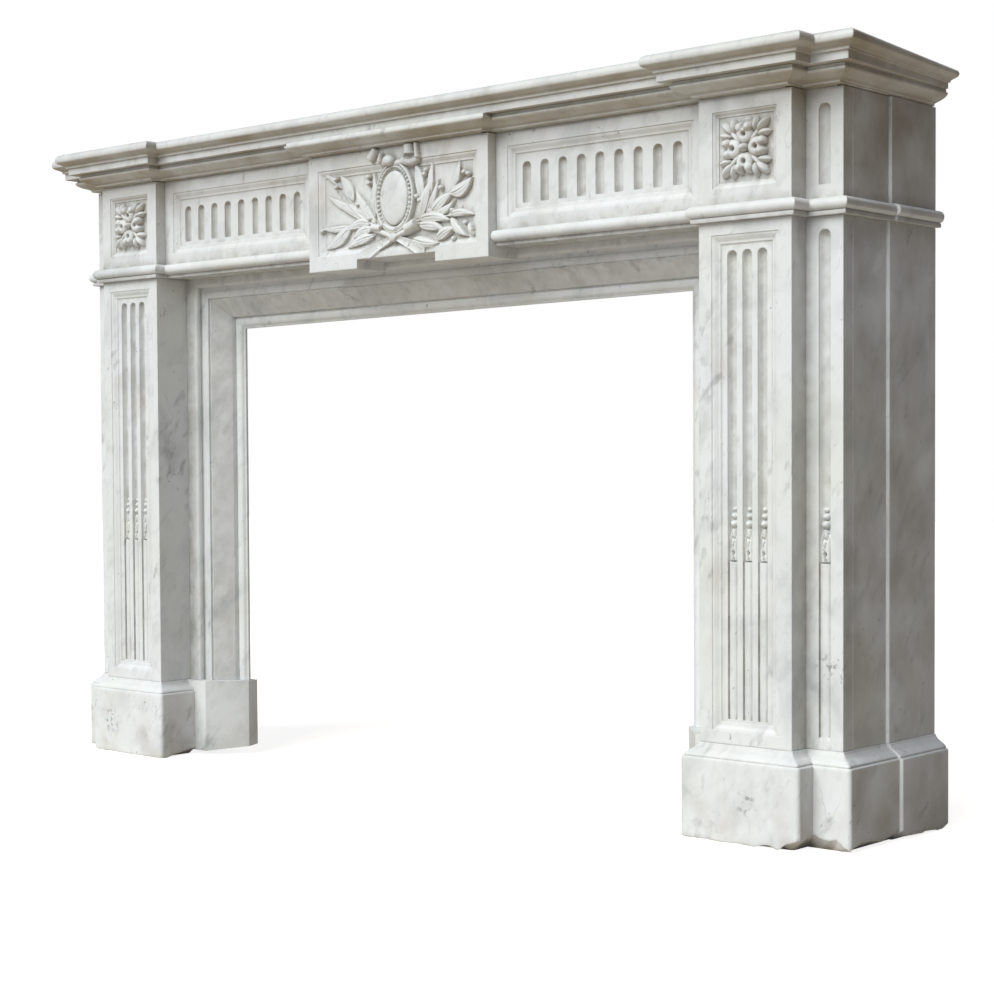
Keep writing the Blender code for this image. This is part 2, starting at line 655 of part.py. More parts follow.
def make_shelf():
    """The shelf in one slab, with a moulded edge on three sides and a flat back."""
    half = break_outline(SHELF_CENTRE_SETBACK - SHELF_FORWARD) + [(SHELF_SIDE, WALL_DEPTH, 1, 0)]
    outline = [(-x, depth, -side, fore) for x, depth, side, fore in reversed(half)] + half
    stone("shelf", outline, shelf_levels(), SHELF_STONE)


def slip_profile():
    """Section of the slips, as (distance out from the opening's edge, depth), from outside in."""
    wide = PILASTER_INNER - OPENING_HALF
    face = SLIP_FACE
    return [
        (wide + SLIP_HIDDEN, SLIP_BACK),
        (wide + SLIP_HIDDEN, face),
        (wide - 0.0235, face),
        (wide - 0.0275, face + 0.0020),
        (wide - 0.0290, face + 0.0060),
        (wide - 0.0265, face + 0.0118),
        (wide - 0.0365, face + 0.0130),
        (wide - 0.0365, face + 0.0110),
        (wide - 0.0475, face + 0.0110),
        (wide - 0.0480, face + 0.0160),
        (wide - 0.0510, face + 0.0150),
        (0.0210, SLIP_BACK - 0.0180),
        (0.0210, SLIP_BACK - 0.0090),
        (0.0150, SLIP_BACK - 0.0105),
        (0.0060, SLIP_BACK - 0.0080),
        (0.0030, SLIP_BACK - 0.0050),
        (0, SLIP_BACK - 0.0045),
        (0, SLIP_BACK),
    ]


def make_slips():
    """Two upright slips, and a header in three lengths that meets them in mitres."""
    profile = slip_profile()
    gap = JOINT / 2
    for side, hand in HANDS:
        foot = [spot(hand * (OPENING_HALF + out), depth, PLINTH_TOP) for out, depth in profile]
        head = [
            spot(hand * (OPENING_HALF + out), depth, OPENING_HEIGHT + out - gap) for out, depth in profile
        ]
        mesh = bmesh.new()
        loft(mesh, [foot, head])
        to_object(mesh, "slip_jamb_" + side, PARTS, SLIP_STONE)
    first, last = HEADER_JOINTS
    spans = (("left", None, first), ("centre", first, last), ("right", last, None))
    for name, start, end in spans:
        rings = []
        for edge, hand in ((start, -1), (end, 1)):
            ring = []
            for out, depth in profile:
                mitre = hand * (OPENING_HALF + out - gap)
                x = mitre if edge is None else edge - hand * gap
                ring.append(spot(x, depth, OPENING_HEIGHT + out + gap))
            rings.append(ring)
        mesh = bmesh.new()
        loft(mesh, rings)
        to_object(mesh, "slip_header_" + name, PARTS, SLIP_STONE)


def make_slip_plinth(side, hand):
    """The plain splayed block under an upright slip."""
    outer = PILASTER_INNER + SLIP_HIDDEN
    fold = PILASTER_INNER - SLIP_PLINTH_STRIP
    lift = SLIP_PLINTH_LIFT
    outline = [
        (outer, SLIP_PLINTH_FACE, 0, 0, lift),
        (fold, SLIP_PLINTH_FACE, 0, 0, lift),
        (SLIP_PLINTH_INNER, SLIP_PLINTH_FACE + SLIP_PLINTH_SPLAY, 0, 0, lift),
        (SLIP_PLINTH_INNER, SLIP_PLINTH_BACK, 0, 0),
        (outer, SLIP_PLINTH_BACK, 0, 0),
    ]
    stone("slip_plinth_" + side, outline, [(0, 0), (PLINTH_TOP - JOINT, 0)], SLIP_STONE, hand)


def clear_scene():
    for thing in list(bpy.data.objects):
        bpy.data.objects.remove(thing)


def new_collection(name):
    collection = bpy.data.collections.new(name)
    bpy.context.scene.collection.children.link(collection)
    return collection


clear_scene()
PARTS = new_collection("fireplace_mantel")
CUTTERS = new_collection("cutters")
CUTTERS.hide_render = True
SHELF_SIDE = STRIP_OUTER - SHELF_DRAWN_IN
SHELF_STONE = marble("shelf marble", (0.74, 0.74, 0.72), 0.38)
FRIEZE_STONE = marble("frieze marble", (0.70, 0.71, 0.70), 0.42)
JAMB_STONE = marble("jamb marble", (0.68, 0.69, 0.68), 0.42)
PLINTH_STONE = marble("plinth marble", (0.64, 0.64, 0.61), 0.50)
SLIP_STONE = marble("slip marble", (0.62, 0.63, 0.62), 0.45)

make_shelf()
make_bed_mould()
make_frieze_centre()
for side_name, side_hand in HANDS:
    make_frieze_corner(side_name, side_hand)
    make_frieze_panel(side_name, side_hand)
    make_jamb(side_name, side_hand)
    make_plinth(side_name, side_hand)
    make_slip_plinth(side_name, side_hand)
make_slips()
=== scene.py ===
"""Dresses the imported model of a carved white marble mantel.

Metres, +Z up. The mantel faces -Y, and depths are measured from the face of the pilasters
towards the wall. Blocks are drawn for the right-hand side, and hand is -1 for their mirror image.
"""

import math

import bpy
import numpy as np
from mathutils import Matrix, Vector


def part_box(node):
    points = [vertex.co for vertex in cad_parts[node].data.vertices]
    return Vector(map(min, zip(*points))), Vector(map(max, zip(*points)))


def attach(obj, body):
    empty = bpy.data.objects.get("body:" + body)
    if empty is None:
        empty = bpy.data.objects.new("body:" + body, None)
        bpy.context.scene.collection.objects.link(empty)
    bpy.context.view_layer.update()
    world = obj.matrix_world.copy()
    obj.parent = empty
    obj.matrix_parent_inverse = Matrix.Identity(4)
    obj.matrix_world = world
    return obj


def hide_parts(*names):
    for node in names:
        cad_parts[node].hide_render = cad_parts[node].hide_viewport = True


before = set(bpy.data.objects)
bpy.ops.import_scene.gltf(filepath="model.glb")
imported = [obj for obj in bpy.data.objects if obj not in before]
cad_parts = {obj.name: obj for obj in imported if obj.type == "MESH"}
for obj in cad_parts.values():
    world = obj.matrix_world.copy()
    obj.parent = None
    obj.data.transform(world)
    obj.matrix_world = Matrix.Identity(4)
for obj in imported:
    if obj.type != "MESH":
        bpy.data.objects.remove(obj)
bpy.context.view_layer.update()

bl_info = {
    "name": "Carved Marble Mantel",
    "version": (1, 0, 0),
    "blender": (4, 5, 0),
    "location": "View3D > Sidebar > Mantel",
    "description": "Builds the carved stones, the marble and the stage of a fireplace mantel",
    "category": "Object",
}

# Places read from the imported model
JAMB_LOW, JAMB_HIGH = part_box("jamb_right")
CORNER_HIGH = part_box("frieze_corner_right")[1]
CENTRE_LOW, CENTRE_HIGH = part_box("frieze_centre")
SHELF_LOW, SHELF_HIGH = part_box("shelf")
HEADER_LOW, HEADER_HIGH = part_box("slip_header_centre")
LINING_LOW, LINING_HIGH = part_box("slip_jamb_right")
REAR_LOW, REAR_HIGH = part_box("jamb_rear_right")
FRIEZE_REAR_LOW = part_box("frieze_rear_right")[0]
SLIP_BASE_LOW, SLIP_BASE_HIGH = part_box("slip_plinth_right")
FACE_Y = JAMB_LOW[1]
PLINTH_TOP = JAMB_LOW[2]
ASTRAGAL_FOOT = JAMB_HIGH[2]
FRIEZE_TOP = CORNER_HIGH[2]
SHELF_FOOT = SHELF_LOW[2]
SHELF_TOP = SHELF_HIGH[2]
WALL_DEPTH = REAR_HIGH[1] - FACE_Y
SLAB_BACK = CENTRE_HIGH[1] - FACE_Y
PILASTER_INNER = JAMB_LOW[0]
STRIP_OUTER = JAMB_HIGH[0]
SIDE_INNER = REAR_LOW[0]
REAR_OUTER = REAR_HIGH[0]
JAMB_JOINT = REAR_LOW[1] - FACE_Y
FRIEZE_JOINT = FRIEZE_REAR_LOW[1] - FACE_Y
CENTRE_HALF = CENTRE_HIGH[0]
EAR_FOOT = CENTRE_LOW[2]
OPENING_HALF = LINING_LOW[0]
OPENING_HEIGHT = HEADER_LOW[2]
HEADER_JOINTS = (HEADER_LOW[0], HEADER_HIGH[0])

# Plan
JOINT = 0.0003
PILASTER_WIDTH = 0.157
PILASTER_OUTER = PILASTER_INNER + PILASTER_WIDTH
STRIP_SETBACK = 0.037
PANEL_SETBACK = 0.0215
CENTRE_FACE = 0.002
PILASTER_MIDDLE = PILASTER_INNER + PILASTER_WIDTH / 2
STRIP_MIDDLE = (PILASTER_OUTER + STRIP_OUTER) / 2
SHELF_DRAWN_IN = 0.004
SHELF_FORWARD = 0.007
SHELF_INNER_BREAK = 0.611
SHELF_CENTRE_SETBACK = 0.0234
BED_BREAK_HALF = 0.197
BED_JOINT = 0.500
NOTCH_HALF = 0.089
NOTCH_RISE = 0.0152
NOTCH_TOP = EAR_FOOT + NOTCH_RISE

# Mouldings
PLINTH_BLOCK = 0.1154
PLINTH_FORE = 0.0178
PLINTH_SIDE = 0.0226
ASTRAGAL_FILLET = 0.0065
ASTRAGAL_ROUND = 0.018
ASTRAGAL_REACH = 0.0145
ASTRAGAL_FILLET_REACH = 0.009
ASTRAGAL_TOP = ASTRAGAL_FOOT + ASTRAGAL_FILLET + ASTRAGAL_ROUND
BED_REACH = 0.0289
FASCIA_REACH = 0.0422
NOSING_REACH = 0.0602

# Sunk panels, flutes and drops
FIELD_SINK = 0.0070
FRAME_MARGIN = 0.017
ROSETTE_MARGIN = 0.0105
PANEL_BAND = 0.0225
PANEL_END = 0.023
FRIEZE_PANEL_FOOT = 0.019
FRIEZE_PANEL_HEAD = 0.0215
CENTRE_PANEL_FOOT = 0.0247
CENTRE_PANEL_HEAD = 0.0245
JAMB_PANEL_BAND = 0.0218
JAMB_PANEL_FOOT = 0.0181
JAMB_PANEL_HEAD = 0.0178
FLUTE_DEPTH = 0.0080
JAMB_FLUTE_PITCH = 0.0257
JAMB_FLUTE_WIDTH = 0.0160
JAMB_FLUTE_HEAD = 0.0222
JAMB_FLUTE_FOOT = 0.0172
STRIP_FLUTE_WIDTH = 0.019
FRIEZE_FLUTES = 9
FRIEZE_FLUTE_PITCH = 0.0362
FRIEZE_FLUTE_WIDTH = 0.0165
FRIEZE_FLUTE_FOOT = 0.0215
FRIEZE_FLUTE_HEAD = 0.0265
HUSK_TOP = 0.478
HUSK_BOTTOM = 0.399
CABLE_QUIRK = 0.0034
CABLE_CROWN = 0.0006
ROSETTE_RISE = 0.0170

# Section of a panel's frame: share of its margin, and share of the panel's depth
FRAME_STEPS = (
    (0, 0), (0.06, 0.20), (0.15, 0.22), (0.24, 0.30), (0.52, 0.66), (0.62, 0.72), (0.72, 0.73),
    (0.80, 0.97), (1.0, 1.0),
)

# Carving of the centre
MEDALLION_X = -0.001
MEDALLION_Z = 0.9735
MEDALLION_HALF = 0.0323
MEDALLION_TALL = 0.0467

# Glued joint in the side, and the grid lines at its edges
SCORE_DEPTH = STRIP_SETBACK + 0.025
SCORE_CUT = 0.0012
SIDE_SCORE = tuple(SCORE_DEPTH + beside for beside in (-0.0007, -0.0002, 0.0002, 0.0007))

# Painted shade under the astragal and in the corner beside the strip, from 0 to 1, and how far it spreads
UNDER_SHADE = 0.7
RETURN_SHADE = 0.8
RETURN_SPREAD = 0.012

# Painted shade and dirt in hollows: how far round a point to look, and how much deeper it lies where the
# darkening is full
HOLLOWS = ((0.003, 0.0022), (0.009, 0.0036))
AROUND = ((1, 0), (-1, 0), (0, 1), (0, -1), (0.5, 0.5), (-0.5, 0.5), (0.5, -0.5), (-0.5, -0.5))

# First grid line in from an arris
EDGE_LINE = 0.004

HANDS = (("left", -1), ("right", 1))


def linear(code):
    """An sRGB hex colour as linear red, green and blue."""
    channels = [int(code[place:place + 2], 16) / 255 for place in (1, 3, 5)]
    return tuple(c / 12.92 if c <= 0.04045 else ((c + 0.055) / 1.055) ** 2.4 for c in channels)


def length(name, description, default):
    """A length that a user can change."""
    return bpy.props.FloatProperty(
        name=name, description=description, default=default, min=0, precision=5,
        subtype="DISTANCE", unit="LENGTH",
    )


def colour(name, description, code):
    """A colour that a user can change, given as sRGB hex."""
    return bpy.props.FloatVectorProperty(
        name=name, description=description, default=linear(code), size=3, min=0, max=1, subtype="COLOR",
    )


def number(name, description, default):
    """A plain number that a user can change."""
    return bpy.props.FloatProperty(name=name, description=description, default=default)


class MantelSizes(bpy.types.PropertyGroup):
    """Sizes of the fine work on the stones."""

    arris: length("Arris", "Radius that wear has given to the edges of the blocks", 0.0011)
    joint_arris: length("Joint arris", "Radius of the edges that meet in a joint", 0.0005)
    plinth_corner: length("Plinth corner", "Radius of the worn upright corners of the plinths", 0.0062)
    carving_step: length("Carving step", "Spacing of the points of the centre carving", 0.0009)
    rosette_step: length("Rosette step", "Spacing of the points of the rosettes", 0.0006)
    drop_step: length("Drop step", "Spacing of the points of the bellflower drops", 0.0008)
    header_tilt: number("Header tilt", "How much the header rises for each metre to the right", 0.0104)


class MantelColours(bpy.types.PropertyGroup):
    """Colours of the marble and of what has gathered on it."""

    stone: colour("Stone", "Honed marble where it is clean", "#E2E5E6")
    warm: colour("Warm stone", "Marble where it has yellowed", "#DDDFD8")
    vein: colour("Vein", "Soft grey veins and clouds", "#A9B0B1")
    # This colour also paints shade: in the hollows, under the astragal, in corners and on the outer sides
    fleck: colour("Fleck", "Small dark crystals", "#6F7475")
    dirt_and_shade: colour("Grime", "Old dirt in the sunk parts", "#7D7362")
    # This colour paints shade as well as smoke, on faces turned from the light near the shelf
    smoke_and_shade: colour("Smoke", "Yellow of old smoke towards the shelf", "#9C8E74")
    stain: colour("Stain", "Rust and damp near the floor", "#A08A78")


class MantelStage(bpy.types.PropertyGroup):
    """The floor and the light."""

    floor: colour("Floor", "Colour of the floor", "#CCC2B3")
    window: colour("Window", "Colour of the high soft light", "#FDFFFE")
    sky: colour("Sky", "Colour of the light all round", "#E5EAFF")
    glow: number("Floor glow", "How much paler the floor looks than it lights", 0.85)
    key: number("Key light", "Strength of the high soft light", 3.18)
    fill: number("Fill light", "Strength of the light all round", 0.195)


def sizes():
    """The sizes that the panel shows."""
    return bpy.context.scene.mantel_sizes


def unit(vector):
    """The vector at length 1."""
    return vector / np.linalg.norm(vector)


def lines(*stops):
    """Grid lines through the stops: each stop is (place, spacing up to the next stop)."""
    made = []
    for (start, step), (end, _) in zip(stops, stops[1:]):
        count = max(1, math.ceil(round((end - start) / step, 6)))
        made.extend(np.linspace(start, end, count, endpoint=False))
    return np.array(made + [stops[-1][0]])


def corner_arcs(corners, reach, radius):
    """Each corner of a plan moved out with the moulding and rounded."""
    spots = np.array([(x + side * reach, depth + fore * reach) for x, depth, side, fore, *_ in corners])
    arcs = []
    for number, corner in enumerate(corners):
        here = spots[number]
        soft = radius * corner[4]
        if not corner[4]:
            arcs.append(here[None])
            continue
        into = unit(here - spots[number - 1])
        away = unit(spots[(number + 1) % len(corners)] - here)
        turn = np.linspace(0, math.pi / 2, 6)[:, None]
        arcs.append(here - into * soft * (1 - np.sin(turn)) + away * soft * (1 - np.cos(turn)))
    return arcs


def run_shares(corners, radius):
    """Where the grid lines cross each straight run, as shares of the run."""
    arcs = corner_arcs(corners, 0, radius)
    shares = []
    for number, corner in enumerate(corners):
        start, end = arcs[number][-1], arcs[(number + 1) % len(corners)][0]
        places = corner[5] if len(corner) > 5 else ()
        axis = int(abs(end[1] - start[1]) > abs(end[0] - start[0]))
        share = (np.array(places, float) - start[axis]) / (end[axis] - start[axis])
        share = np.sort(share)
        shares.append(share[(share > 1e-3) & (share < 1 - 1e-3)][:, None])
    return shares


def skin(name, grid, dirt_and_shade, bed):
    """A closed mesh over rings of points, with a cap at each end and faces turned outwards."""
    rows, count = grid.shape[:2]
    points = grid.reshape(-1, 3)
    index = np.arange(rows * count).reshape(rows, count)
    after = np.roll(index, -1, axis=1)
    quads = np.stack([index[:-1], after[:-1], after[1:], index[1:]], axis=-1).reshape(-1, 4)
    caps = [index[0][::-1], index[-1]]
    return lay_mesh(name, points, quads, caps, dirt_and_shade.reshape(-1), bed)


def lay_mesh(name, points, quads, caps, dirt_and_shade, bed):
    """Makes the object. Its faces are turned over if they point inwards."""
    centre = points.mean(axis=0)
    a, b, c, d = (points[quads[:, k]] - centre for k in range(4))
    volume = np.einsum("ij,ij->", a, np.cross(b, c)) + np.einsum("ij,ij->", a, np.cross(c, d))
    if volume < 0:
        quads = quads[:, ::-1]
        caps = [cap[::-1] for cap in caps]
    counts = np.array([4] * len(quads) + [len(cap) for cap in caps])
    loops = np.concatenate([quads.reshape(-1)] + [np.asarray(cap) for cap in caps])
    mesh = bpy.data.meshes.new(name)
    mesh.vertices.add(len(points))
    mesh.vertices.foreach_set("co", points.astype(np.float32).reshape(-1))
    mesh.loops.add(len(loops))
    mesh.loops.foreach_set("vertex_index", loops.astype(np.int32))
    mesh.polygons.add(len(counts))
    mesh.polygons.foreach_set("loop_start", (np.cumsum(counts) - counts).astype(np.int32))
    mesh.update(calc_edges=True)
    mesh.validate()
    for label, values in (("dirt_and_shade", dirt_and_shade), ("bed", np.full(len(points), bed))):
        attribute = mesh.attributes.new(label, "FLOAT", "POINT")
        attribute.data.foreach_set("value", values.astype(np.float32))
    mesh.shade_smooth()
    mesh.set_sharp_from_angle(angle=math.radians(48))
    thing = bpy.data.objects.new(name, mesh)
    bpy.context.scene.collection.objects.link(thing)
    return thing


def level_dirt_and_shade(levels):
    """How far each level lies in a hollow of the moulding, from 0 to 1: the painted shade and dirt there."""
    heights = np.array([level[0] for level in levels])
    reaches = np.array([level[1] for level in levels])
    span, full = 0.004, 0.0025
    around = [np.interp(heights + span * share, heights, reaches) for share in (-1, -0.5, 0.5, 1)]
    return np.clip((np.mean(around, axis=0) - reaches) / full, 0, 1) * (heights < heights.max())


def block(name, corners, levels, hand=1, carve=None, shape=None, soft=None, bed=0.0):
    """A block on a plan outline, with its mouldings drawn by levels.

    A corner is (x, depth, side, fore, softness, grid lines to the next corner), and a level is
    (height, reach, corner radius). carve gives (depth, dirt_and_shade) for points of the faces, and shape
    moves the finished points.
    """
    soft = sizes().arris if soft is None else soft
    shares = run_shares(corners, soft)
    rings = []
    for _, reach, *radius in levels:
        arcs = corner_arcs(corners, reach, radius[0] if radius else soft)
        ring = []
        for number, share in enumerate(shares):
            start, end = arcs[number][-1], arcs[(number + 1) % len(arcs)][0]
            ring += [arcs[number], start + share * (end - start)]
        rings.append(np.concatenate(ring))
    plan = np.array(rings)
    grid = np.empty((*plan.shape[:2], 3))
    grid[..., :2] = plan
    grid[..., 2] = np.array([level[0] for level in levels])[:, None]
    # Painted shade on the fillet under the astragal and in the corner beside the strip
    under = (grid[..., 2] > ASTRAGAL_FOOT) & (grid[..., 2] < ASTRAGAL_FOOT + ASTRAGAL_FILLET)
    dirt_and_shade = np.maximum(np.repeat(level_dirt_and_shade(levels)[:, None], plan.shape[1], axis=1), UNDER_SHADE * under)
    return_corner = np.hypot(grid[..., 0] - PILASTER_OUTER, grid[..., 1] - STRIP_SETBACK)
    dirt_and_shade = np.maximum(dirt_and_shade, RETURN_SHADE * np.exp(-return_corner / RETURN_SPREAD))
    if carve:
        # carve also gives dirt with painted shade in the carved hollows
        sunk, dirt = carve(grid[..., 0], grid[..., 1], grid[..., 2])
        grid[..., 1] += sunk
        dirt_and_shade = np.maximum(dirt_and_shade, dirt)
    if shape:
        shape(grid)
    grid[..., 0] *= hand
    grid[..., 1] += FACE_Y
    return skin(name, grid, dirt_and_shade, bed)


def eased(foot, top, rows):
    """Levels of a plain upright face, with both edges eased into the joints."""
    soft = sizes().joint_arris
    rows = [row for row in rows if foot + soft < row < top - soft]
    levels = [(foot, -soft), (foot + 0.3 * soft, -0.3 * soft), (foot + soft, 0)]
    levels += [(row, 0) for row in rows]
    return levels + [(top - soft, 0), (top - 0.3 * soft, -0.3 * soft), (top, -soft)]


def curve_levels(points, steps=5):
    """Levels along a smooth curve through (height, reach) points."""
    points = np.array(points)
    ends = np.vstack([2 * points[0] - points[1], points, 2 * points[-1] - points[-2]])
    made = []
    for number in range(1, len(points)):
        a, b, c, d = ends[number - 1:number + 3]
        for share in np.linspace(0, 1, steps, endpoint=False):
            curve = 2 * b + (c - a) * share + (2 * a - 5 * b + 4 * c - d) * share**2
            made.append(tuple((curve + (3 * b - a - 3 * c + d) * share**3) / 2))
    return made + [tuple(points[-1])]


def astragal_levels(rows, out=ASTRAGAL_FILLET_REACH):
    """Fillet and half-round at the foot of the frieze, then the plain face up to the bed mould."""
    soft = sizes().joint_arris
    foot = ASTRAGAL_FOOT + JOINT
    round_foot = ASTRAGAL_FOOT + ASTRAGAL_FILLET
    levels = [(foot, out - soft), (foot + 0.3 * soft, out - 0.3 * soft), (foot + soft, out)]
    levels += [(round_foot - 2 * soft, out), (round_foot - 0.6 * soft, out - 0.4 * soft)]
    inner = ASTRAGAL_REACH - ASTRAGAL_ROUND / 2
    for turn in np.linspace(0.06, math.pi - 0.12, 15):
        height = round_foot + ASTRAGAL_ROUND * (1 - math.cos(turn)) / 2
        levels.append((height, inner + (ASTRAGAL_REACH - inner) * math.sin(turn)))
    levels += [(ASTRAGAL_TOP + up, reach) for up, reach in ((0.0002, 0.0022), (0.0006, 0.0004), (0.0014, 0))]
    levels += [(row, 0) for row in rows if ASTRAGAL_TOP + 0.002 < row < FRIEZE_TOP - 0.002]
    return levels + [(FRIEZE_TOP - soft, 0), (FRIEZE_TOP - 0.3 * soft, -0.3 * soft), (FRIEZE_TOP, -soft)]


def sunk_panel(x, z, left, right, low, high, margin):
    """Depth of a sunk panel: a fine step, a sloping band, a second step and the field."""
    inset = np.minimum(np.minimum(x - left, right - x), np.minimum(z - low, high - z))
    where, depth = np.array(FRAME_STEPS).T
    return FIELD_SINK * np.interp(inset, where * margin, depth, left=0)


def flute_depth(x, z, middle, width, foot, head):
    """Depth of one hollow flute with a flat foot and a round head."""
    half = width / 2
    over = np.maximum(z - (head - half), 0)
    reach = np.hypot(x - middle, over) / half
    depth = FLUTE_DEPTH * np.sqrt(np.clip(1 - reach**2, 0, 1))
    return np.where(z >= foot, depth, 0)


def cable_depth(x, z, middle, width, foot, head):
    """Depth of the lower part of a flute, which a round cable fills."""
    across = np.abs(x - middle) / (width / 2)
    crown = CABLE_CROWN + CABLE_QUIRK * across**2.4
    return np.where((across < 1) & (z >= foot) & (z < head), crown, 0)


def ball(x, z, x0, z0, half_x, half_z, rise):
    """Height of a rounded boss."""
    return rise * np.sqrt(np.clip(1 - ((x - x0) / half_x)**2 - ((z - z0) / half_z)**2, 0, 1))


def drop_height(x, z, middle, size):
    """Height of a drop above the bottom of its flute: three beads over a curled leaf."""
    tall = HUSK_TOP - HUSK_BOTTOM
    height = np.zeros_like(x)
    for share, radius in ((0.055, 0.24), (0.175, 0.31), (0.315, 0.38)):
        bead = radius * size
        centre = HUSK_TOP - share * tall
        height = np.maximum(height, ball(x, z, middle, centre, bead, 0.85 * bead, 1.25 * bead))
    down = (HUSK_TOP - z) / tall
    along = np.clip((down - 0.40) / 0.60, 0, 1)
    across = (x - middle) / size
    half = 0.47 * np.clip(along / 0.25, 0, 1)**0.5 + 1e-6
    leaf = size * 0.40 * np.sqrt(np.clip(1 - (across / half)**2, 0, 1))
    for side in (-1, 1):
        vein = side * (0.10 + 0.16 * np.sin(5.5 * along + side))
        leaf -= size * 0.16 * np.exp(-((across - vein) / 0.055)**2) * np.clip(along * 6, 0, 1)
    for eye, depth in ((0.30, 0.22), (0.74, 0.34)):
        leaf -= size * depth * np.exp(-(across**2 + (1.9 * (along - eye))**2) / 0.012)
    leaf *= np.clip((1 - along) / 0.05, 0, 1)**0.5
    return np.maximum(height, np.where((down > 0.40) & (down < 1), leaf, 0))


def hung_flute(x, z, middle, width, foot, head):
    """Depth of a flute with a cable in its foot and a drop hanging over the cable."""
    hollow = flute_depth(x, z, middle, width, HUSK_BOTTOM, head)
    inside = (np.abs(x - middle) < width / 2) & (z >= HUSK_BOTTOM) & (z < HUSK_TOP)
    over_drop = FLUTE_DEPTH - drop_height(x, z, middle, width)
    hollow = np.where(inside, np.minimum(hollow, over_drop), hollow)
    return hollow + cable_depth(x, z, middle, width, foot, HUSK_BOTTOM)


def carved(depth_at, x, z):
    """(depth, dirt_and_shade): dirt and painted shade gather where a point lies deeper than the stone round
    it.
    """
    depth = depth_at(x, z)
    dirt_and_shade = np.zeros_like(depth)
    for span, full in HOLLOWS:
        for right, up in AROUND:
            dirt_and_shade += (depth - depth_at(x + right * span, z + up * span)) / (len(AROUND) * full)
    return depth, np.clip(dirt_and_shade, 0, 1)


def on_faces(faces):
    """A carve function for a block: faces holds (plan depth, x from, x to, depth function)."""
    def carve(x, depth, z):
        sunk, dirt_and_shade = np.zeros_like(x), np.zeros_like(x)
        for plane, left, right, depth_at in faces:
            here = np.isclose(depth, plane, atol=1e-6) & (x > left) & (x < right)
            sunk[here], dirt_and_shade[here] = carved(depth_at, x[here], z[here])
        return sunk, dirt_and_shade
    return carve


def flute_columns(middle, width, count=11):
    """Grid lines across one flute, close together at its two edges."""
    half = width / 2
    turns = np.cos(np.linspace(0, math.pi, count))
    return middle + half * np.concatenate([[-1.03], turns * 0.995, [1.03]])


def frame_lines(low, high, margin):
    """Grid lines at every step of a sunk panel's frame."""
    steps = np.array((0, 0.06, 0.15, 0.24, 0.33, 0.42, 0.52, 0.62, 0.72, 0.80, 0.90, 1.0)) * margin
    return np.concatenate([low + steps, high - steps])


def thinned(values, least=0.00012):
    """Sorted grid lines without any that nearly repeat."""
    values = np.sort(np.concatenate(values))
    keep = np.concatenate([[True], np.diff(values) > least])
    return values[keep]


def ride(thing, node, slot="carved_marble"):
    """The piece stands for its node, moves with the mantel and takes its marble."""
    thing.data.materials.append(named_marble(slot))
    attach(thing, "root")
    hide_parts(node)


def pair(name, node, corners, levels, bed, slot="carved_marble", **extra):
    """The left and right stones of a pair, each cut from its own bed of marble."""
    for side, hand in HANDS:
        piece = block(name + "_" + side, corners, levels, hand, bed=bed + hand, **extra)
        ride(piece, node + "_" + side, slot)


def jamb_corners(joint, face, strip):
    """Plan of a pilaster, its strip and its side up to the joint with the rear slab."""
    side = np.concatenate([lines((0.04, 0.012), (0.15, 0.012)), SIDE_SCORE])
    return [
        (PILASTER_INNER, SLAB_BACK, -1, 0, 0),
        (PILASTER_INNER, 0, -1, -1, 1, face),
        (PILASTER_OUTER, 0, 1, -1, 1),
        (PILASTER_OUTER, STRIP_SETBACK, 1, -1, 0, strip),
        (STRIP_OUTER, STRIP_SETBACK, 1, -1, 1, side),
        (STRIP_OUTER, joint - JOINT, 1, 0, 0.4),
        (SIDE_INNER, joint - JOINT, 0, 0, 0),
        (SIDE_INNER, SLAB_BACK, 0, 0, 0),
    ]


def rear_corners(joint):
    """Plan of a rear side slab."""
    return [
        (SIDE_INNER, joint, 0, 0, 0),
        (REAR_OUTER, joint, 1, 0, 1.9, lines((joint, 0.012), (WALL_DEPTH, 0.012))),
        (REAR_OUTER, WALL_DEPTH, 1, 0, 0),
        (SIDE_INNER, WALL_DEPTH, 0, 0, 0),
    ]


def score_side(grid):
    """Cuts the fine joint in the side, where the front slab was glued to the side slab."""
    near = (np.abs(grid[..., 1] - SCORE_DEPTH) < 0.0004) & (grid[..., 0] > SIDE_INNER)
    grid[..., 0] -= SCORE_CUT * near


def jamb_faces(face_depth, strip_depth):
    """A carve function for the faces of a pilaster and of its strip."""
    return on_faces([
        (0, PILASTER_INNER + 0.002, PILASTER_OUTER - 0.002, face_depth),
        (STRIP_SETBACK, PILASTER_OUTER + 0.001, STRIP_OUTER - 0.002, strip_depth),
    ])


def strip_columns(count):
    """Grid lines across the strip and its flute."""
    flute = flute_columns(STRIP_MIDDLE, STRIP_FLUTE_WIDTH, count)
    return thinned([flute, [PILASTER_OUTER + EDGE_LINE, STRIP_OUTER - EDGE_LINE]])


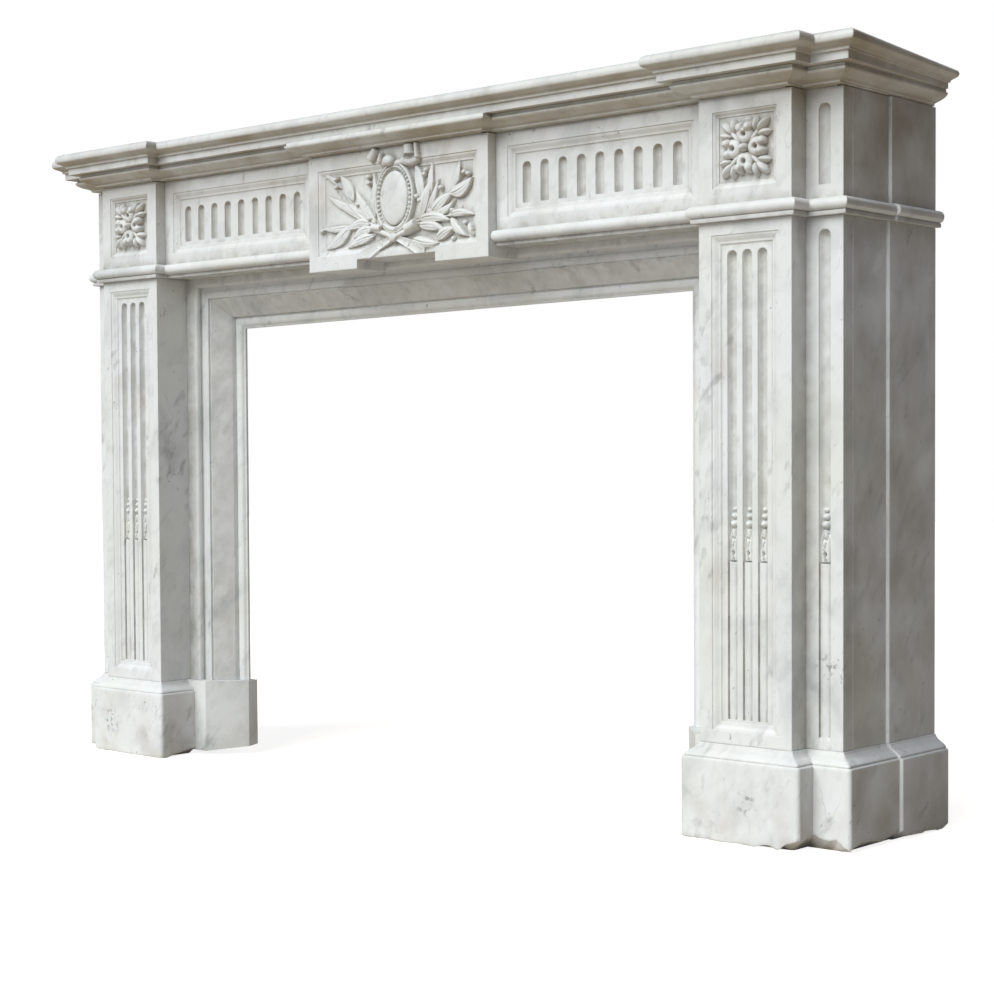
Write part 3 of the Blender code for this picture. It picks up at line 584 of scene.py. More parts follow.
def build_jambs():
    """The fluted pilasters with their strips, and the rear side slabs."""
    low, high = PLINTH_TOP + JAMB_PANEL_FOOT, ASTRAGAL_FOOT - JAMB_PANEL_HEAD
    foot, head = low + JAMB_FLUTE_FOOT, high - JAMB_FLUTE_HEAD
    half = PILASTER_WIDTH / 2 - JAMB_PANEL_BAND
    left, right = PILASTER_MIDDLE - half, PILASTER_MIDDLE + half
    middles = [PILASTER_MIDDLE + side * JAMB_FLUTE_PITCH for side in (-1, 0, 1)]

    def face_depth(x, z):
        depth = sunk_panel(x, z, left, right, low, high, FRAME_MARGIN)
        for middle in middles:
            depth += hung_flute(x, z, middle, JAMB_FLUTE_WIDTH, foot, head)
        return depth

    def strip_depth(x, z):
        return hung_flute(x, z, STRIP_MIDDLE, STRIP_FLUTE_WIDTH, low, high)

    columns = [flute_columns(middle, JAMB_FLUTE_WIDTH, 19) for middle in middles]
    columns.append(frame_lines(left, right, FRAME_MARGIN))
    face = thinned(columns + [[PILASTER_INNER + EDGE_LINE, PILASTER_OUTER - EDGE_LINE]])
    rows = thinned([
        frame_lines(low, high, FRAME_MARGIN),
        lines(
            (PLINTH_TOP + 0.003, 0.008), (foot - 0.0002, 0.0004), (foot + 0.0002, 0.012),
            (HUSK_BOTTOM - 0.0004, 0.0004), (HUSK_BOTTOM, sizes().drop_step), (HUSK_TOP + 0.001, 0.012),
            (head - JAMB_FLUTE_WIDTH / 2, 0.0009), (head, 0.0009), (head + 0.001, 0.008),
            (high - STRIP_FLUTE_WIDTH / 2, 0.001), (high + 0.001, 0.006), (ASTRAGAL_FOOT, 0.006),
        ),
    ])
    corners = jamb_corners(JAMB_JOINT, face, strip_columns(21))
    pair("pilaster", "jamb", corners, eased(PLINTH_TOP, ASTRAGAL_FOOT, rows), 1.3,
         carve=jamb_faces(face_depth, strip_depth), shape=score_side)
    plain = eased(PLINTH_TOP, ASTRAGAL_FOOT, lines((PLINTH_TOP, 0.02), (ASTRAGAL_FOOT, 0.02)))
    pair("pilaster_rear", "jamb_rear", rear_corners(JAMB_JOINT), plain, 4.1)


def petal_height(along, across, size):
    """A two-lobed petal of the rosette, with a drilled eye."""
    body = ball(along, across, 0.50 * size, 0, 0.38 * size, 0.34 * size, 1.0)**0.6
    for side in (-1, 1):
        lobe = ball(along, across, 0.68 * size, side * 0.17 * size, 0.19 * size, 0.18 * size, 1.0)**0.7
        body = np.maximum(0.84 * body, lobe)
    eye = np.exp(-((along - 0.46 * size)**2 + across**2) / (0.068 * size)**2)
    cleft = np.exp(-((along - 0.88 * size) / (0.17 * size))**2 - (across / (0.06 * size))**2)
    return np.clip(body - 0.95 * eye - 0.85 * cleft, 0, 1)


def corner_leaf_height(along, across, size):
    """A leaf of three pointed lobes that fills a corner of the rosette's square."""
    leaf = ball(along, across, 0.60 * size, 0, 0.46 * size, 0.11 * size, 0.55)
    lobes = ((1.00, 0, 0.32, 0.17), (0.86, 0.23, 0.27, 0.14), (0.86, -0.23, 0.27, 0.14))
    for centre, side, long, wide in lobes:
        turn = 0.62 * np.sign(side)
        right, up = along - centre * size, across - side * size
        far = (right * math.cos(turn) + up * math.sin(turn)) / (long * size)
        near = np.abs(up * math.cos(turn) - right * math.sin(turn)) / (wide * size)
        leaf = np.maximum(leaf, 0.92 * np.clip(1 - far**2 - near**1.4, 0, 1)**0.5)
    return leaf


def rosette_height(x, z, middle, level, half, rise):
    """Height of a rosette above its field: four petals, four corner leaves and a bud."""
    height = np.zeros_like(x)
    for quarter in range(4):
        turn = quarter * math.pi / 2
        for lean, shape, share in ((math.pi / 4, corner_leaf_height, 0.80), (0, petal_height, 1.0)):
            sine, cosine = math.sin(turn + lean), math.cos(turn + lean)
            along = (x - middle) * sine + (z - level) * cosine
            across = (x - middle) * cosine - (z - level) * sine
            height = np.maximum(height, share * rise * shape(along, across, half))
    bud = ball(x, z, middle, level, 0.165 * half, 0.165 * half, 1.10 * rise)
    return np.maximum(height, bud)


def build_corners():
    """The rosette blocks over the pilasters, and the rear side slabs of the frieze."""
    low, high = ASTRAGAL_TOP + PANEL_BAND, FRIEZE_TOP - PANEL_BAND + 0.002
    half = (high - low) / 2
    level = (low + high) / 2
    span = half - ROSETTE_MARGIN
    left, right = PILASTER_MIDDLE - half, PILASTER_MIDDLE + half

    def face_depth(x, z):
        panel = sunk_panel(x, z, left, right, low, high, ROSETTE_MARGIN)
        return panel - rosette_height(x, z, PILASTER_MIDDLE, level, 0.95 * span, ROSETTE_RISE)

    def strip_depth(x, z):
        return flute_depth(x, z, STRIP_MIDDLE, STRIP_FLUTE_WIDTH, low - 0.003, high)

    step = sizes().rosette_step
    face = thinned([
        lines((PILASTER_MIDDLE - span, step), (PILASTER_MIDDLE + span, step)),
        frame_lines(left, right, ROSETTE_MARGIN),
        [PILASTER_INNER + EDGE_LINE, PILASTER_OUTER - EDGE_LINE],
    ], 0.0001)
    rows = thinned([
        lines((level - span, step), (level + span, step)),
        frame_lines(low, high, ROSETTE_MARGIN),
        [low - 0.0032, low - 0.0028, low - 0.008, high + 0.008],
    ], 0.0001)
    corners = jamb_corners(FRIEZE_JOINT, face, strip_columns(15))
    pair("rosette_block", "frieze_corner", corners, astragal_levels(rows), 7.7,
         carve=jamb_faces(face_depth, strip_depth), shape=score_side)
    plain = astragal_levels(lines((ASTRAGAL_TOP, 0.02), (FRIEZE_TOP, 0.02)))
    pair("frieze_rear_block", "frieze_rear", rear_corners(FRIEZE_JOINT), plain, 10.2)


def build_panels():
    """The long fluted panels of the frieze."""
    inner, outer = CENTRE_HALF + JOINT, PILASTER_INNER - JOINT
    low, high = ASTRAGAL_TOP + FRIEZE_PANEL_FOOT, FRIEZE_TOP - FRIEZE_PANEL_HEAD
    near, far = inner + PANEL_END, outer - PANEL_END
    foot, head = low + FRIEZE_FLUTE_FOOT, high - FRIEZE_FLUTE_HEAD
    middle = (near + far) / 2
    middles = [middle + (n - (FRIEZE_FLUTES - 1) / 2) * FRIEZE_FLUTE_PITCH for n in range(FRIEZE_FLUTES)]

    def face_depth(x, z):
        depth = sunk_panel(x, z, near, far, low, high, FRAME_MARGIN)
        for centre in middles:
            depth += flute_depth(x, z, centre, FRIEZE_FLUTE_WIDTH, foot, head)
        return depth

    columns = [flute_columns(centre, FRIEZE_FLUTE_WIDTH, 17) for centre in middles]
    columns += [frame_lines(near, far, FRAME_MARGIN), lines((near, 0.004), (far, 0.004))]
    face = thinned(columns, 0.0002)
    half_round = FRIEZE_FLUTE_WIDTH / 2
    rows = thinned([
        frame_lines(low, high, FRAME_MARGIN),
        [foot - 0.0003, foot + 0.0001],
        lines((foot + 0.002, 0.006), (head - half_round, 0.0006), (head + 0.0008, 0.0006)),
    ])
    corners = [
        (inner, SLAB_BACK, 0, 0, 0),
        (inner, PANEL_SETBACK, 0, -1, 0.3, face),
        (outer, PANEL_SETBACK, -1, -1, 0.3),
        (outer, SLAB_BACK, -1, 0, 0),
    ]
    carve = on_faces([(PANEL_SETBACK, inner + 0.002, outer - 0.002, face_depth)])
    pair("fluted_panel", "frieze_panel", corners, astragal_levels(rows, 0.0025), 13.9, carve=carve)


def raise_leaf(field, root, tip, width, rise, bend=0.0):
    """Lays a laurel leaf on the field: a pointed blade that falls away from a cut midrib."""
    x, z, height = field
    start, end = np.array(root), np.array(tip)
    span = np.linalg.norm(end - start)
    along = (end - start) / span
    share = ((x - start[0]) * along[0] + (z - start[1]) * along[1]) / span
    across = (x - start[0]) * along[1] - (z - start[1]) * along[0]
    across -= bend * span * 4 * share * (1 - share)
    near = (share > 0) & (share < 1) & (np.abs(across) < width)
    share, across = share[near], across[near]
    half = 0.45 * width * np.sin(math.pi * share**0.80)**0.90 + 1e-7
    part = np.abs(across) / half
    blade = (0.72 + 0.28 * np.sin(math.pi * share)) * (1 - 0.30 * part)
    blade -= 0.26 * np.exp(-(across / 0.0009)**2) * np.clip(1.2 - share, 0, 1)
    blade += 0.12 * np.clip(part - 0.72, 0, 1) / 0.28
    edge = np.clip((half - np.abs(across)) / 0.0008, 0, 1)
    height[near] = np.maximum(height[near], rise * blade * edge**0.5 * (part < 1))


def raise_band(field, path, widths, rise, crown=0.5, hollow=0.0, square=False):
    """Lays a ribbon or a stem on the field along straight stretches between points."""
    x, z, height = field
    for (start, end), (wide, thin) in zip(zip(path, path[1:]), zip(widths, widths[1:])):
        start, end = np.array(start), np.array(end)
        line = end - start
        share = ((x - start[0]) * line[0] + (z - start[1]) * line[1]) / line.dot(line)
        beyond = np.abs(share - 0.5) - 0.5
        share = np.clip(share, 0, 1)
        away = np.hypot(x - start[0] - share * line[0], z - start[1] - share * line[1])
        half = 0.5 * (wide + (thin - wide) * share)
        near = (away < half) & ((beyond < 0) | (not square))
        part = away[near] / half[near]
        shape = 1 - crown + crown * np.sqrt(1 - part**2) - hollow * (1 - part**2)
        edge = np.clip((half[near] - away[near]) / 0.0010, 0, 1)
        if square:
            edge = np.minimum(edge, np.clip(-beyond[near] * np.sqrt(line.dot(line)) / 0.0009, 0, 1))
        height[near] = np.maximum(height[near], rise * shape * edge**0.5)


def raise_ball(field, x0, z0, half_x, half_z, rise, base=0.0):
    """Lays a berry, a pearl or a boss on the field."""
    x, z, height = field
    round_part = ball(x, z, x0, z0, half_x, half_z, rise)
    height[:] = np.maximum(height, np.where(round_part > 0, base + round_part, 0))


LEFT_LEAVES = (
    ((-0.127, 1.000), (-0.171, 1.027), 0.011, 0.06),
    ((-0.084, 0.964), (-0.164, 0.993), 0.015, -0.08),
    ((-0.099, 0.977), (-0.131, 1.022), 0.023, 0.06),
    ((-0.056, 0.938), (-0.135, 0.969), 0.023, 0.07),
    ((-0.047, 0.936), (-0.094, 0.994), 0.022, -0.05),
    ((-0.111, 0.936), (-0.176, 0.937), 0.013, -0.05),
    ((-0.103, 0.938), (-0.166, 0.901), 0.024, -0.06),
    ((-0.053, 0.928), (-0.100, 0.914), 0.019, 0.10),
    ((-0.056, 0.935), (-0.113, 0.926), 0.015, 0.16),
    ((-0.048, 0.945), (-0.050, 1.024), 0.014, 0.03),
    ((-0.050, 0.916), (-0.113, 0.899), 0.018, 0.05),
)
RIGHT_LEAVES = (
    ((0.078, 0.972), (0.083, 1.027), 0.014, -0.05),
    ((0.124, 0.974), (0.141, 1.024), 0.014, 0.07),
    ((0.057, 0.965), (0.043, 1.029), 0.021, 0.05),
    ((0.066, 0.940), (0.096, 0.997), 0.013, 0.05),
    ((0.055, 0.934), (0.080, 0.998), 0.022, -0.03),
    ((0.078, 0.938), (0.132, 0.960), 0.015, 0.10),
    ((0.076, 0.938), (0.129, 0.972), 0.022, -0.06),
    ((0.119, 0.970), (0.170, 0.993), 0.024, 0.12),
    ((0.114, 0.935), (0.174, 0.932), 0.014, -0.08),
    ((0.052, 0.924), (0.109, 0.913), 0.020, -0.08),
    ((0.052, 0.934), (0.122, 0.927), 0.020, -0.08),
    ((0.123, 0.932), (0.160, 0.899), 0.017, 0.08),
    ((0.163, 0.921), (0.173, 0.899), 0.011, 0.06),
    ((0.092, 0.899), (0.133, 0.915), 0.020, -0.06),
    ((0.040, 0.904), (0.099, 0.893), 0.022, 0.05),
)
BERRIES = (
    (-0.138, 1.016), (-0.137, 1.003), (-0.062, 1.013), (-0.061, 1.003), (-0.087, 0.970), (-0.172, 0.932),
    (-0.060, 0.944), (0.069, 1.012), (0.066, 1.006), (0.152, 1.001), (0.160, 0.998), (0.101, 0.981),
    (0.048, 0.972), (0.054, 0.965), (0.126, 0.943), (0.077, 0.946), (0.154, 0.921), (0.129, 0.898),
)


def centre_height(x, z):
    """Height of the centre carving above its field."""
    height = np.zeros_like(x)
    field = (x, z, height)
    rise = 0.0095
    stems = (
        ((-0.040, 0.928), (-0.075, 0.945), (-0.110, 0.972), (-0.135, 1.000)),
        ((-0.040, 0.926), (-0.085, 0.932), (-0.120, 0.930)),
        ((0.042, 0.930), (0.080, 0.940), (0.125, 0.975), (0.150, 0.999)),
        ((0.042, 0.926), (0.085, 0.934), (0.130, 0.936)),
    )
    for stem in stems:
        raise_band(field, stem, [0.0055 - 0.001 * n for n in range(len(stem))], 0.65 * rise, 0.8)
    for leaves, share in ((LEFT_LEAVES, 0.72), (RIGHT_LEAVES, 0.90)):
        for number, (root, tip, width, bend) in enumerate(leaves):
            raise_leaf(field, root, tip, width, rise * share * (0.70 + 0.06 * number), bend)
    for x0, z0 in BERRIES:
        raise_ball(field, x0, z0, 0.0042, 0.0042, 0.0055, 0.0045)
    raise_ring(field)
    raise_bow(field)
    return height


def raise_ring(field):
    """Lays the medallion on the field: a smooth oval in a ring of pearls, with a band at its foot."""
    x, z, height = field
    bed_rise, rim_rise, pearl_rise = 0.0062, 0.0045, 0.0046
    rim_out, rim_half = 0.0094, 0.0026
    pearls, pearl_out, pearl_half, pearl_long = 44, 0.0040, 0.0028, 0.0054
    band_top, band_out, band_half = 0.932, 0.0045, 0.0050
    oval_edge = 0.965
    across, up = x - MEDALLION_X, z - MEDALLION_Z
    turn = np.arctan2(up / MEDALLION_TALL, across / MEDALLION_HALF)
    scale = np.hypot(across / MEDALLION_HALF, up / MEDALLION_TALL)
    out = (scale - 1) * np.hypot(MEDALLION_HALF * np.cos(turn), MEDALLION_TALL * np.sin(turn))
    bed = (out > -0.001) & (out < 0.0110)
    height[:] = np.where(bed, np.maximum(height, bed_rise), height)
    rim = np.clip(1 - ((out - rim_out) / rim_half)**2, 0, 1)
    height[:] = np.where(rim > 0, np.maximum(height, 0.0050 + rim_rise * np.sqrt(rim)), height)
    near = np.abs((turn * pearls / (2 * math.pi)) % 1 - 0.5) * 2
    pitch = 2 * math.pi * np.hypot(MEDALLION_HALF * np.sin(turn), MEDALLION_TALL * np.cos(turn)) / pearls
    pearl = 1 - (near * pitch / pearl_long)**2 - ((out - pearl_out) / pearl_half)**2
    top = (pearl > 0) & (z > band_top - 0.001)
    pearl = bed_rise + pearl_rise * np.sqrt(np.clip(pearl, 0, 1))
    height[:] = np.maximum(height, np.where(top, pearl, 0))
    band = np.clip(1 - ((out - band_out) / band_half)**2, 0, 1)
    band_height = np.maximum(height, 0.0040 + 0.0070 * np.sqrt(band))
    height[:] = np.where((z < band_top) & (band > 0), band_height, height)
    oval = np.sqrt(np.clip(1 - (scale / oval_edge)**2, 0, 1))
    height[:] = np.where(scale < oval_edge, 0.0045 + 0.0075 * oval**0.6, height)


def raise_bow(field):
    """Lays the ribbon on the field: the bow at the top, two cuffs, and the tails at the foot."""
    x, z, height = field
    high = 0.0180
    raise_band(field, ((-0.024, 1.0320), (0.0, 1.0295), (0.024, 1.0310)), (0.012, 0.012, 0.012), 0.011, 0.7)
    raise_band(field, ((-0.0375, 1.0565), (-0.0520, 1.0400)), (0.0150, 0.0205), high, 0.75, square=True)
    raise_band(field, ((-0.0520, 1.0400), (-0.0540, 1.0375)), (0.0175, 0.0150), 0.6 * high, 0.3, square=True)
    raise_band(field, ((-0.0245, 1.0490), (-0.0305, 1.0340)), (0.0080, 0.0140), 0.9 * high, 0.75,
               square=True)
    raise_ball(field, 0.0375, 1.0335, 0.0225, 0.0115, 0.45 * high, 0.40 * high)
    hollow = ball(x, z, 0.0390, 1.0370, 0.0150, 0.0055, 1.0)
    height[:] = np.where(hollow > 0, height - 0.55 * high * hollow, height)
    raise_band(field, ((0.0350, 1.0570), (0.0350, 1.0405)), (0.0200, 0.0215), high, 0.75, square=True)
    raise_band(field, ((0.0520, 1.0560), (0.0545, 1.0350)), (0.0090, 0.0110), 0.85 * high, 0.75)
    raise_ball(field, -0.0085, 1.0345, 0.0120, 0.0092, 0.0080, 0.0120)
    raise_band(field, ((-0.0400, 0.9240), (-0.0015, 0.9090)), (0.0125, 0.0100), 0.0125, 0.75)
    raise_band(field, ((0.0380, 0.9210), (-0.0015, 0.9090)), (0.0125, 0.0100), 0.0125, 0.75)
    raise_band(field, ((-0.0500, 0.9290), (-0.0270, 0.9255)), (0.0150, 0.0135), 0.9 * high, 0.75,
               square=True)
    raise_band(field, ((0.0270, 0.9200), (0.0500, 0.9290)), (0.0180, 0.0200), 0.95 * high, 0.75, square=True)
    raise_ball(field, -0.0015, 0.9090, 0.0080, 0.0075, 0.0040, 0.0110)
    for path, widths in ((((0.0, 0.9100), (-0.0330, 0.8985), (-0.0650, 0.8855)), (0.0090, 0.0160, 0.0240)),
                         (((0.0, 0.9100), (0.0280, 0.8985), (0.0580, 0.8850)), (0.0090, 0.0150, 0.0240))):
        raise_band(field, path, widths, 0.0120, 0.15, 0.30)


def build_centre():
    """The projecting centre block, with its ears, medallion, bow and laurel."""
    low, high = EAR_FOOT + CENTRE_PANEL_FOOT, FRIEZE_TOP - CENTRE_PANEL_HEAD
    half = CENTRE_HALF - PANEL_BAND
    soft = sizes().arris
    step = sizes().carving_step
    inner = half - FRAME_MARGIN

    def face_depth(x, z):
        panel = sunk_panel(x, z, -half, half, low, high, FRAME_MARGIN)
        return np.minimum(panel, FIELD_SINK - centre_height(x, z))

    edge = np.array((0, 0.08, 0.3, 0.62, 1.0)) * soft
    notch = np.array((-1.0, -0.3, -0.0001 / soft, 0.0001 / soft)) * soft
    columns = thinned([
        -CENTRE_HALF + edge, CENTRE_HALF - edge, frame_lines(-half, half, FRAME_MARGIN),
        lines((-inner, step), (inner, step)), NOTCH_HALF - notch, -NOTCH_HALF + notch,
        [-CENTRE_HALF + 0.008, CENTRE_HALF - 0.008],
    ], 0.00015)
    rows = thinned([
        EAR_FOOT + edge, FRIEZE_TOP - edge, frame_lines(low, high, FRAME_MARGIN),
        lines((low, step), (FRIEZE_TOP - 0.002, step)),
        [EAR_FOOT + 0.006, EAR_FOOT + 0.012, EAR_FOOT + 0.018],
    ], 0.00015)
    x, z = np.meshgrid(columns, rows)
    foot = np.where(np.abs(columns) < NOTCH_HALF, NOTCH_TOP, EAR_FOOT)
    fixed = low - 0.0005
    z = np.where(z < fixed, foot + (z - EAR_FOOT) * (fixed - foot) / (fixed - EAR_FOOT), z)
    depth, dirt_and_shade = carved(face_depth, x, z)
    margin = np.minimum(np.minimum(CENTRE_HALF - np.abs(x), FRIEZE_TOP - z), z - foot)
    margin = np.where(z < NOTCH_TOP, np.minimum(margin, np.abs(np.abs(x) - NOTCH_HALF)), margin)
    depth += soft - np.sqrt(np.clip(soft**2 - np.clip(soft - margin, 0, soft)**2, 0, None))
    front = np.stack([x, FACE_Y + CENTRE_FACE + depth, z], axis=-1)
    back_low = np.stack([columns, np.full_like(columns, FACE_Y + SLAB_BACK), z[0]], axis=-1)
    back_high = back_low.copy()
    back_high[:, 2] = FRIEZE_TOP
    points = np.concatenate([front.reshape(-1, 3), back_low, back_high])
    count_z, count_x = x.shape
    index = np.arange(x.size).reshape(count_z, count_x)
    behind = x.size + np.arange(count_x)
    above = behind + count_x
    strips = [
        (index[:-1], index[1:]),
        (behind[None], index[:1]),
        (index[-1:], above[None]),
        (above[None], behind[None]),
    ]
    quads = np.concatenate([
        np.stack([first[:, :-1], first[:, 1:], second[:, 1:], second[:, :-1]], axis=-1).reshape(-1, 4)
        for first, second in strips
    ])
    caps = [np.concatenate([index[:, 0], [above[0], behind[0]]]),
            np.concatenate([index[::-1, -1], [behind[-1], above[-1]]])]
    dirt_and_shade = np.concatenate([dirt_and_shade.reshape(-1), np.zeros(2 * count_x)])
    piece = lay_mesh("medallion_block", points, quads, caps, dirt_and_shade, 20.4)
    ride(piece, "frieze_centre")


def bed_levels():
    """A small bead, a cove, an ovolo and a fillet under the shelf."""
    foot = FRIEZE_TOP + JOINT
    tall = SHELF_FOOT - FRIEZE_TOP - 2 * JOINT
    out = BED_REACH
    gap = foot + 0.0015

    def at(*shares):
        return [(foot + up * tall, reach * out) for up, reach in shares]

    ovolo = at((0.19, 0.25), (0.24, 0.31), (0.36, 0.60), (0.50, 0.83), (0.64, 0.96), (0.76, 1.0))
    first = [(foot, -0.006), (gap - 0.0001, -0.006), (gap, 0.20 * out)] + at((0.10, 0.245), (0.14, 0.235))
    return first + curve_levels(ovolo) + at((0.785, 0.985), (0.79, 0.91), (0.96, 0.90), (1, 0.885))


def shelf_levels():
    """Fascia, fillet, cove and rounded nosing of the shelf, from soffit to top."""
    tall = SHELF_TOP - SHELF_FOOT
    curl = NOSING_REACH - FASCIA_REACH
    foot = SHELF_FOOT

    def at(*shares):
        return [(foot + up * tall, FASCIA_REACH + reach * curl) for up, reach in shares]

    fascia = at((0, -0.9), (0, -0.06), (0.012, -0.01), (0.04, 0), (0.16, 0), (0.30, 0), (0.315, 0.02))
    fillet = at((0.318, 0.19), (0.33, 0.21), (0.385, 0.21), (0.40, 0.23))
    nosing = at((0.405, 0.24), (0.45, 0.34), (0.52, 0.68), (0.60, 0.92), (0.74, 1.0), (0.88, 0.90),
                (0.965, 0.66), (0.995, 0.40))
    return fascia + fillet + curve_levels(nosing) + at((1.0, 0.25), (1.0, -0.4))


def break_corners(run, front_lines=(), run_lines=()):
    """The shelf or its bed mould where it goes round one pilaster and the strip beside it."""
    front = -SHELF_FORWARD
    strip = STRIP_SETBACK - SHELF_FORWARD
    outer = PILASTER_OUTER - SHELF_DRAWN_IN
    side = STRIP_OUTER - SHELF_DRAWN_IN
    return [
        (SHELF_INNER_BREAK, run, -1, -1, 0),
        (SHELF_INNER_BREAK, front, -1, -1, 1, front_lines),
        (outer, front, 1, -1, 1),
        (outer, strip, 1, -1, 0),
        (side, strip, 1, -1, 1, run_lines),
    ]


def build_shelf():
    """The shelf slab."""
    run = SHELF_CENTRE_SETBACK - SHELF_FORWARD
    side = STRIP_OUTER - SHELF_DRAWN_IN
    front = lines((0.62, 0.02), (0.76, 0.02))
    sides = lines((0.04, 0.02), (WALL_DEPTH, 0.02))
    half = break_corners(run, front, sides)
    left = []
    marks = [corner[5] if len(corner) > 5 else () for corner in half]
    for number in range(len(half) - 1, -1, -1):
        x, depth, out, fore, soft = half[number][:5]
        run_marks = marks[number - 1] if number else lines((-0.6, 0.02), (0.6, 0.02))
        if number == 2:
            run_marks = -np.array(front)
        left.append((-x, depth, -out, fore, soft, run_marks))
    corners = [(-side, WALL_DEPTH, -1, 0, 0, sides)] + left + half + [(side, WALL_DEPTH, 1, 0, 0)]

    def droop(grid):
        """The right end of the shelf has worn away towards the wall, down and in."""
        down, inward = 0.0115, 0.0130
        back = np.clip((grid[..., 1] + 0.02) / (WALL_DEPTH + 0.02), 0, 1)
        share = back * np.clip((grid[..., 0] - 0.80) / 0.03, 0, 1)
        up = (grid[..., 2] - SHELF_FOOT) / (SHELF_TOP - SHELF_FOOT)
        grid[..., 2] -= share * down * up
        grid[..., 0] -= share * inward

    ride(block("shelf_slab", corners, shelf_levels(), shape=droop, soft=0.0018, bed=30.5), "shelf")


def build_bed_mould():
    """The ovolo course under the shelf, in five lengths."""
    run = SHELF_CENTRE_SETBACK - SHELF_FORWARD
    break_depth = CENTRE_FACE - SHELF_FORWARD
    half = BED_BREAK_HALF
    side = STRIP_OUTER - SHELF_DRAWN_IN
    soft = 0.0009
    corners = [
        (-BED_JOINT, SLAB_BACK, 0, 0, 0),
        (-BED_JOINT, run, 0, -1, 0.3),
        (-half, run, -1, -1, 0),
        (-half, break_depth, -1, -1, 1, lines((-0.19, 0.02), (0.19, 0.02))),
        (half, break_depth, 1, -1, 1),
        (half, run, 1, -1, 0),
        (BED_JOINT, run, 0, -1, 0.3),
        (BED_JOINT, SLAB_BACK, 0, 0, 0),
    ]
    ride(block("ovolo_centre", corners, bed_levels(), soft=soft, bed=33.1), "bed_mould_centre")
    start = BED_JOINT + JOINT
    round_jamb = [
        (start, SLAB_BACK, 0, 0, 0),
        (start, run, 0, -1, 0.3),
        *break_corners(run),
        (side, FRIEZE_JOINT - JOINT, 1, 0, 0.3),
        (SIDE_INNER, FRIEZE_JOINT - JOINT, 0, 0, 0),
        (SIDE_INNER, SLAB_BACK, 0, 0, 0),
    ]
    rear = [
        (SIDE_INNER, FRIEZE_JOINT, 0, 0, 0),
        (side, FRIEZE_JOINT, 1, 0, 0.3),
        (side, WALL_DEPTH, 1, 0, 0),
        (SIDE_INNER, WALL_DEPTH, 0, 0, 0),
    ]
    pair("ovolo", "bed_mould", round_jamb, bed_levels(), 35, soft=soft)
    pair("ovolo_rear", "bed_mould_rear", rear, bed_levels(), 38, soft=soft)


def plinth_levels():
    """The block, a thin fillet and quirk on its edge, and a cyma up to the face of the jamb."""
    up = PLINTH_BLOCK
    out = PLINTH_FORE
    rise = PLINTH_TOP - PLINTH_BLOCK - JOINT
    worn = sizes().plinth_corner
    low = [(height, out - inset, worn) for height, inset in (
        (0, 0.014), (0, 0.0012), (0.0005, 0.0004), (0.0015, 0))]
    body = [(height, out, worn) for height in (0.008, 0.018, 0.03, 0.045, 0.06, 0.08, 0.1, up - 0.004)]
    edge = [
        (up, out, 0.9 * worn),
        (up + 0.06 * rise, out - 0.0004, 0.85 * worn),
        (up + 0.11 * rise, out - 0.0014, 0.8 * worn),
        (up + 0.13 * rise, 0.82 * out, 0.75 * worn),
        (up + 0.18 * rise, 0.85 * out, 0.7 * worn),
    ]
    cyma = curve_levels([(up + a * rise, b * out) for a, b in (
        (0.20, 0.85), (0.30, 0.80), (0.45, 0.62), (0.58, 0.42), (0.70, 0.27), (0.85, 0.14), (0.97, 0.085))])
    cyma = [(z, reach, 0.6 * worn * (PLINTH_TOP - z) / rise + 0.0012) for z, reach in cyma]
    return low + body + edge + cyma + [(PLINTH_TOP - JOINT, 0.06 * out, 0.0012)]


# Broken bottom edges: distance round the plinth from its inner front corner, and lift
BROKEN = {
    "left": (
        (-0.075, 0.012), (-0.045, 0.009), (-0.006, 0.001), (0, 0), (0.10, 0.0), (0.15, 0.0006),
        (0.2, 0.002), (0.23, 0.004), (0.26, 0.001), (0.3, 0.002), (0.4, 0),
    ),
    "right": (
        (-0.05, 0.003), (0, 0.0008), (0.038, 0.0022), (0.064, 0.0002), (0.102, 0.0014), (0.127, 0.0004),
        (0.150, 0.0054), (0.167, 0.0008), (0.183, 0.0105), (0.200, 0.0156), (0.238, 0.0212),
        (0.262, 0.0143), (0.277, 0.0180), (0.290, 0.0076), (0.302, 0.0040), (0.311, 0.0096),
        (0.345, 0.0134), (0.385, 0.0062), (0.423, 0.0138),
    ),
}
REAR_BROKEN = {
    "left": ((0.4, 0.001), (0.6, 0.003)),
    "right": (
        (0.423, 0.0138), (0.441, 0.0129), (0.457, 0.0054), (0.515, 0.0043), (0.548, 0.0012),
        (0.570, 0.0061),
    ),
}


def raise_bottom(breaks):
    """Lifts the broken bottom edge of a plinth. A distance on the inner side counts as negative."""
    places, lifts = np.array(breaks).T
    corner = PILASTER_INNER - PLINTH_SIDE
    zone = 0.045

    def shape(grid):
        x, depth, z = grid[..., 0], grid[..., 1], grid[..., 2]
        fore = depth + PLINTH_FORE
        place = np.where(x < corner + 0.004, -np.maximum(fore - 0.008, 0), x - corner + fore)
        lift = np.interp(place, places, lifts)
        # Waves of 5 to 27 mm that share no rhythm look like a broken edge
        ragged = np.sin(place * 521) * np.sin(place * 233 + 1.0) + 0.5 * np.sin(place * 1187)
        lift = np.where(lift > 0.0004, np.maximum(lift + 0.0011 * ragged, 0), lift)
        grid[..., 2] = np.where(z < zone, z + lift * (1 - z / zone), z)
        grid[0, :, 2] = 0
    return shape


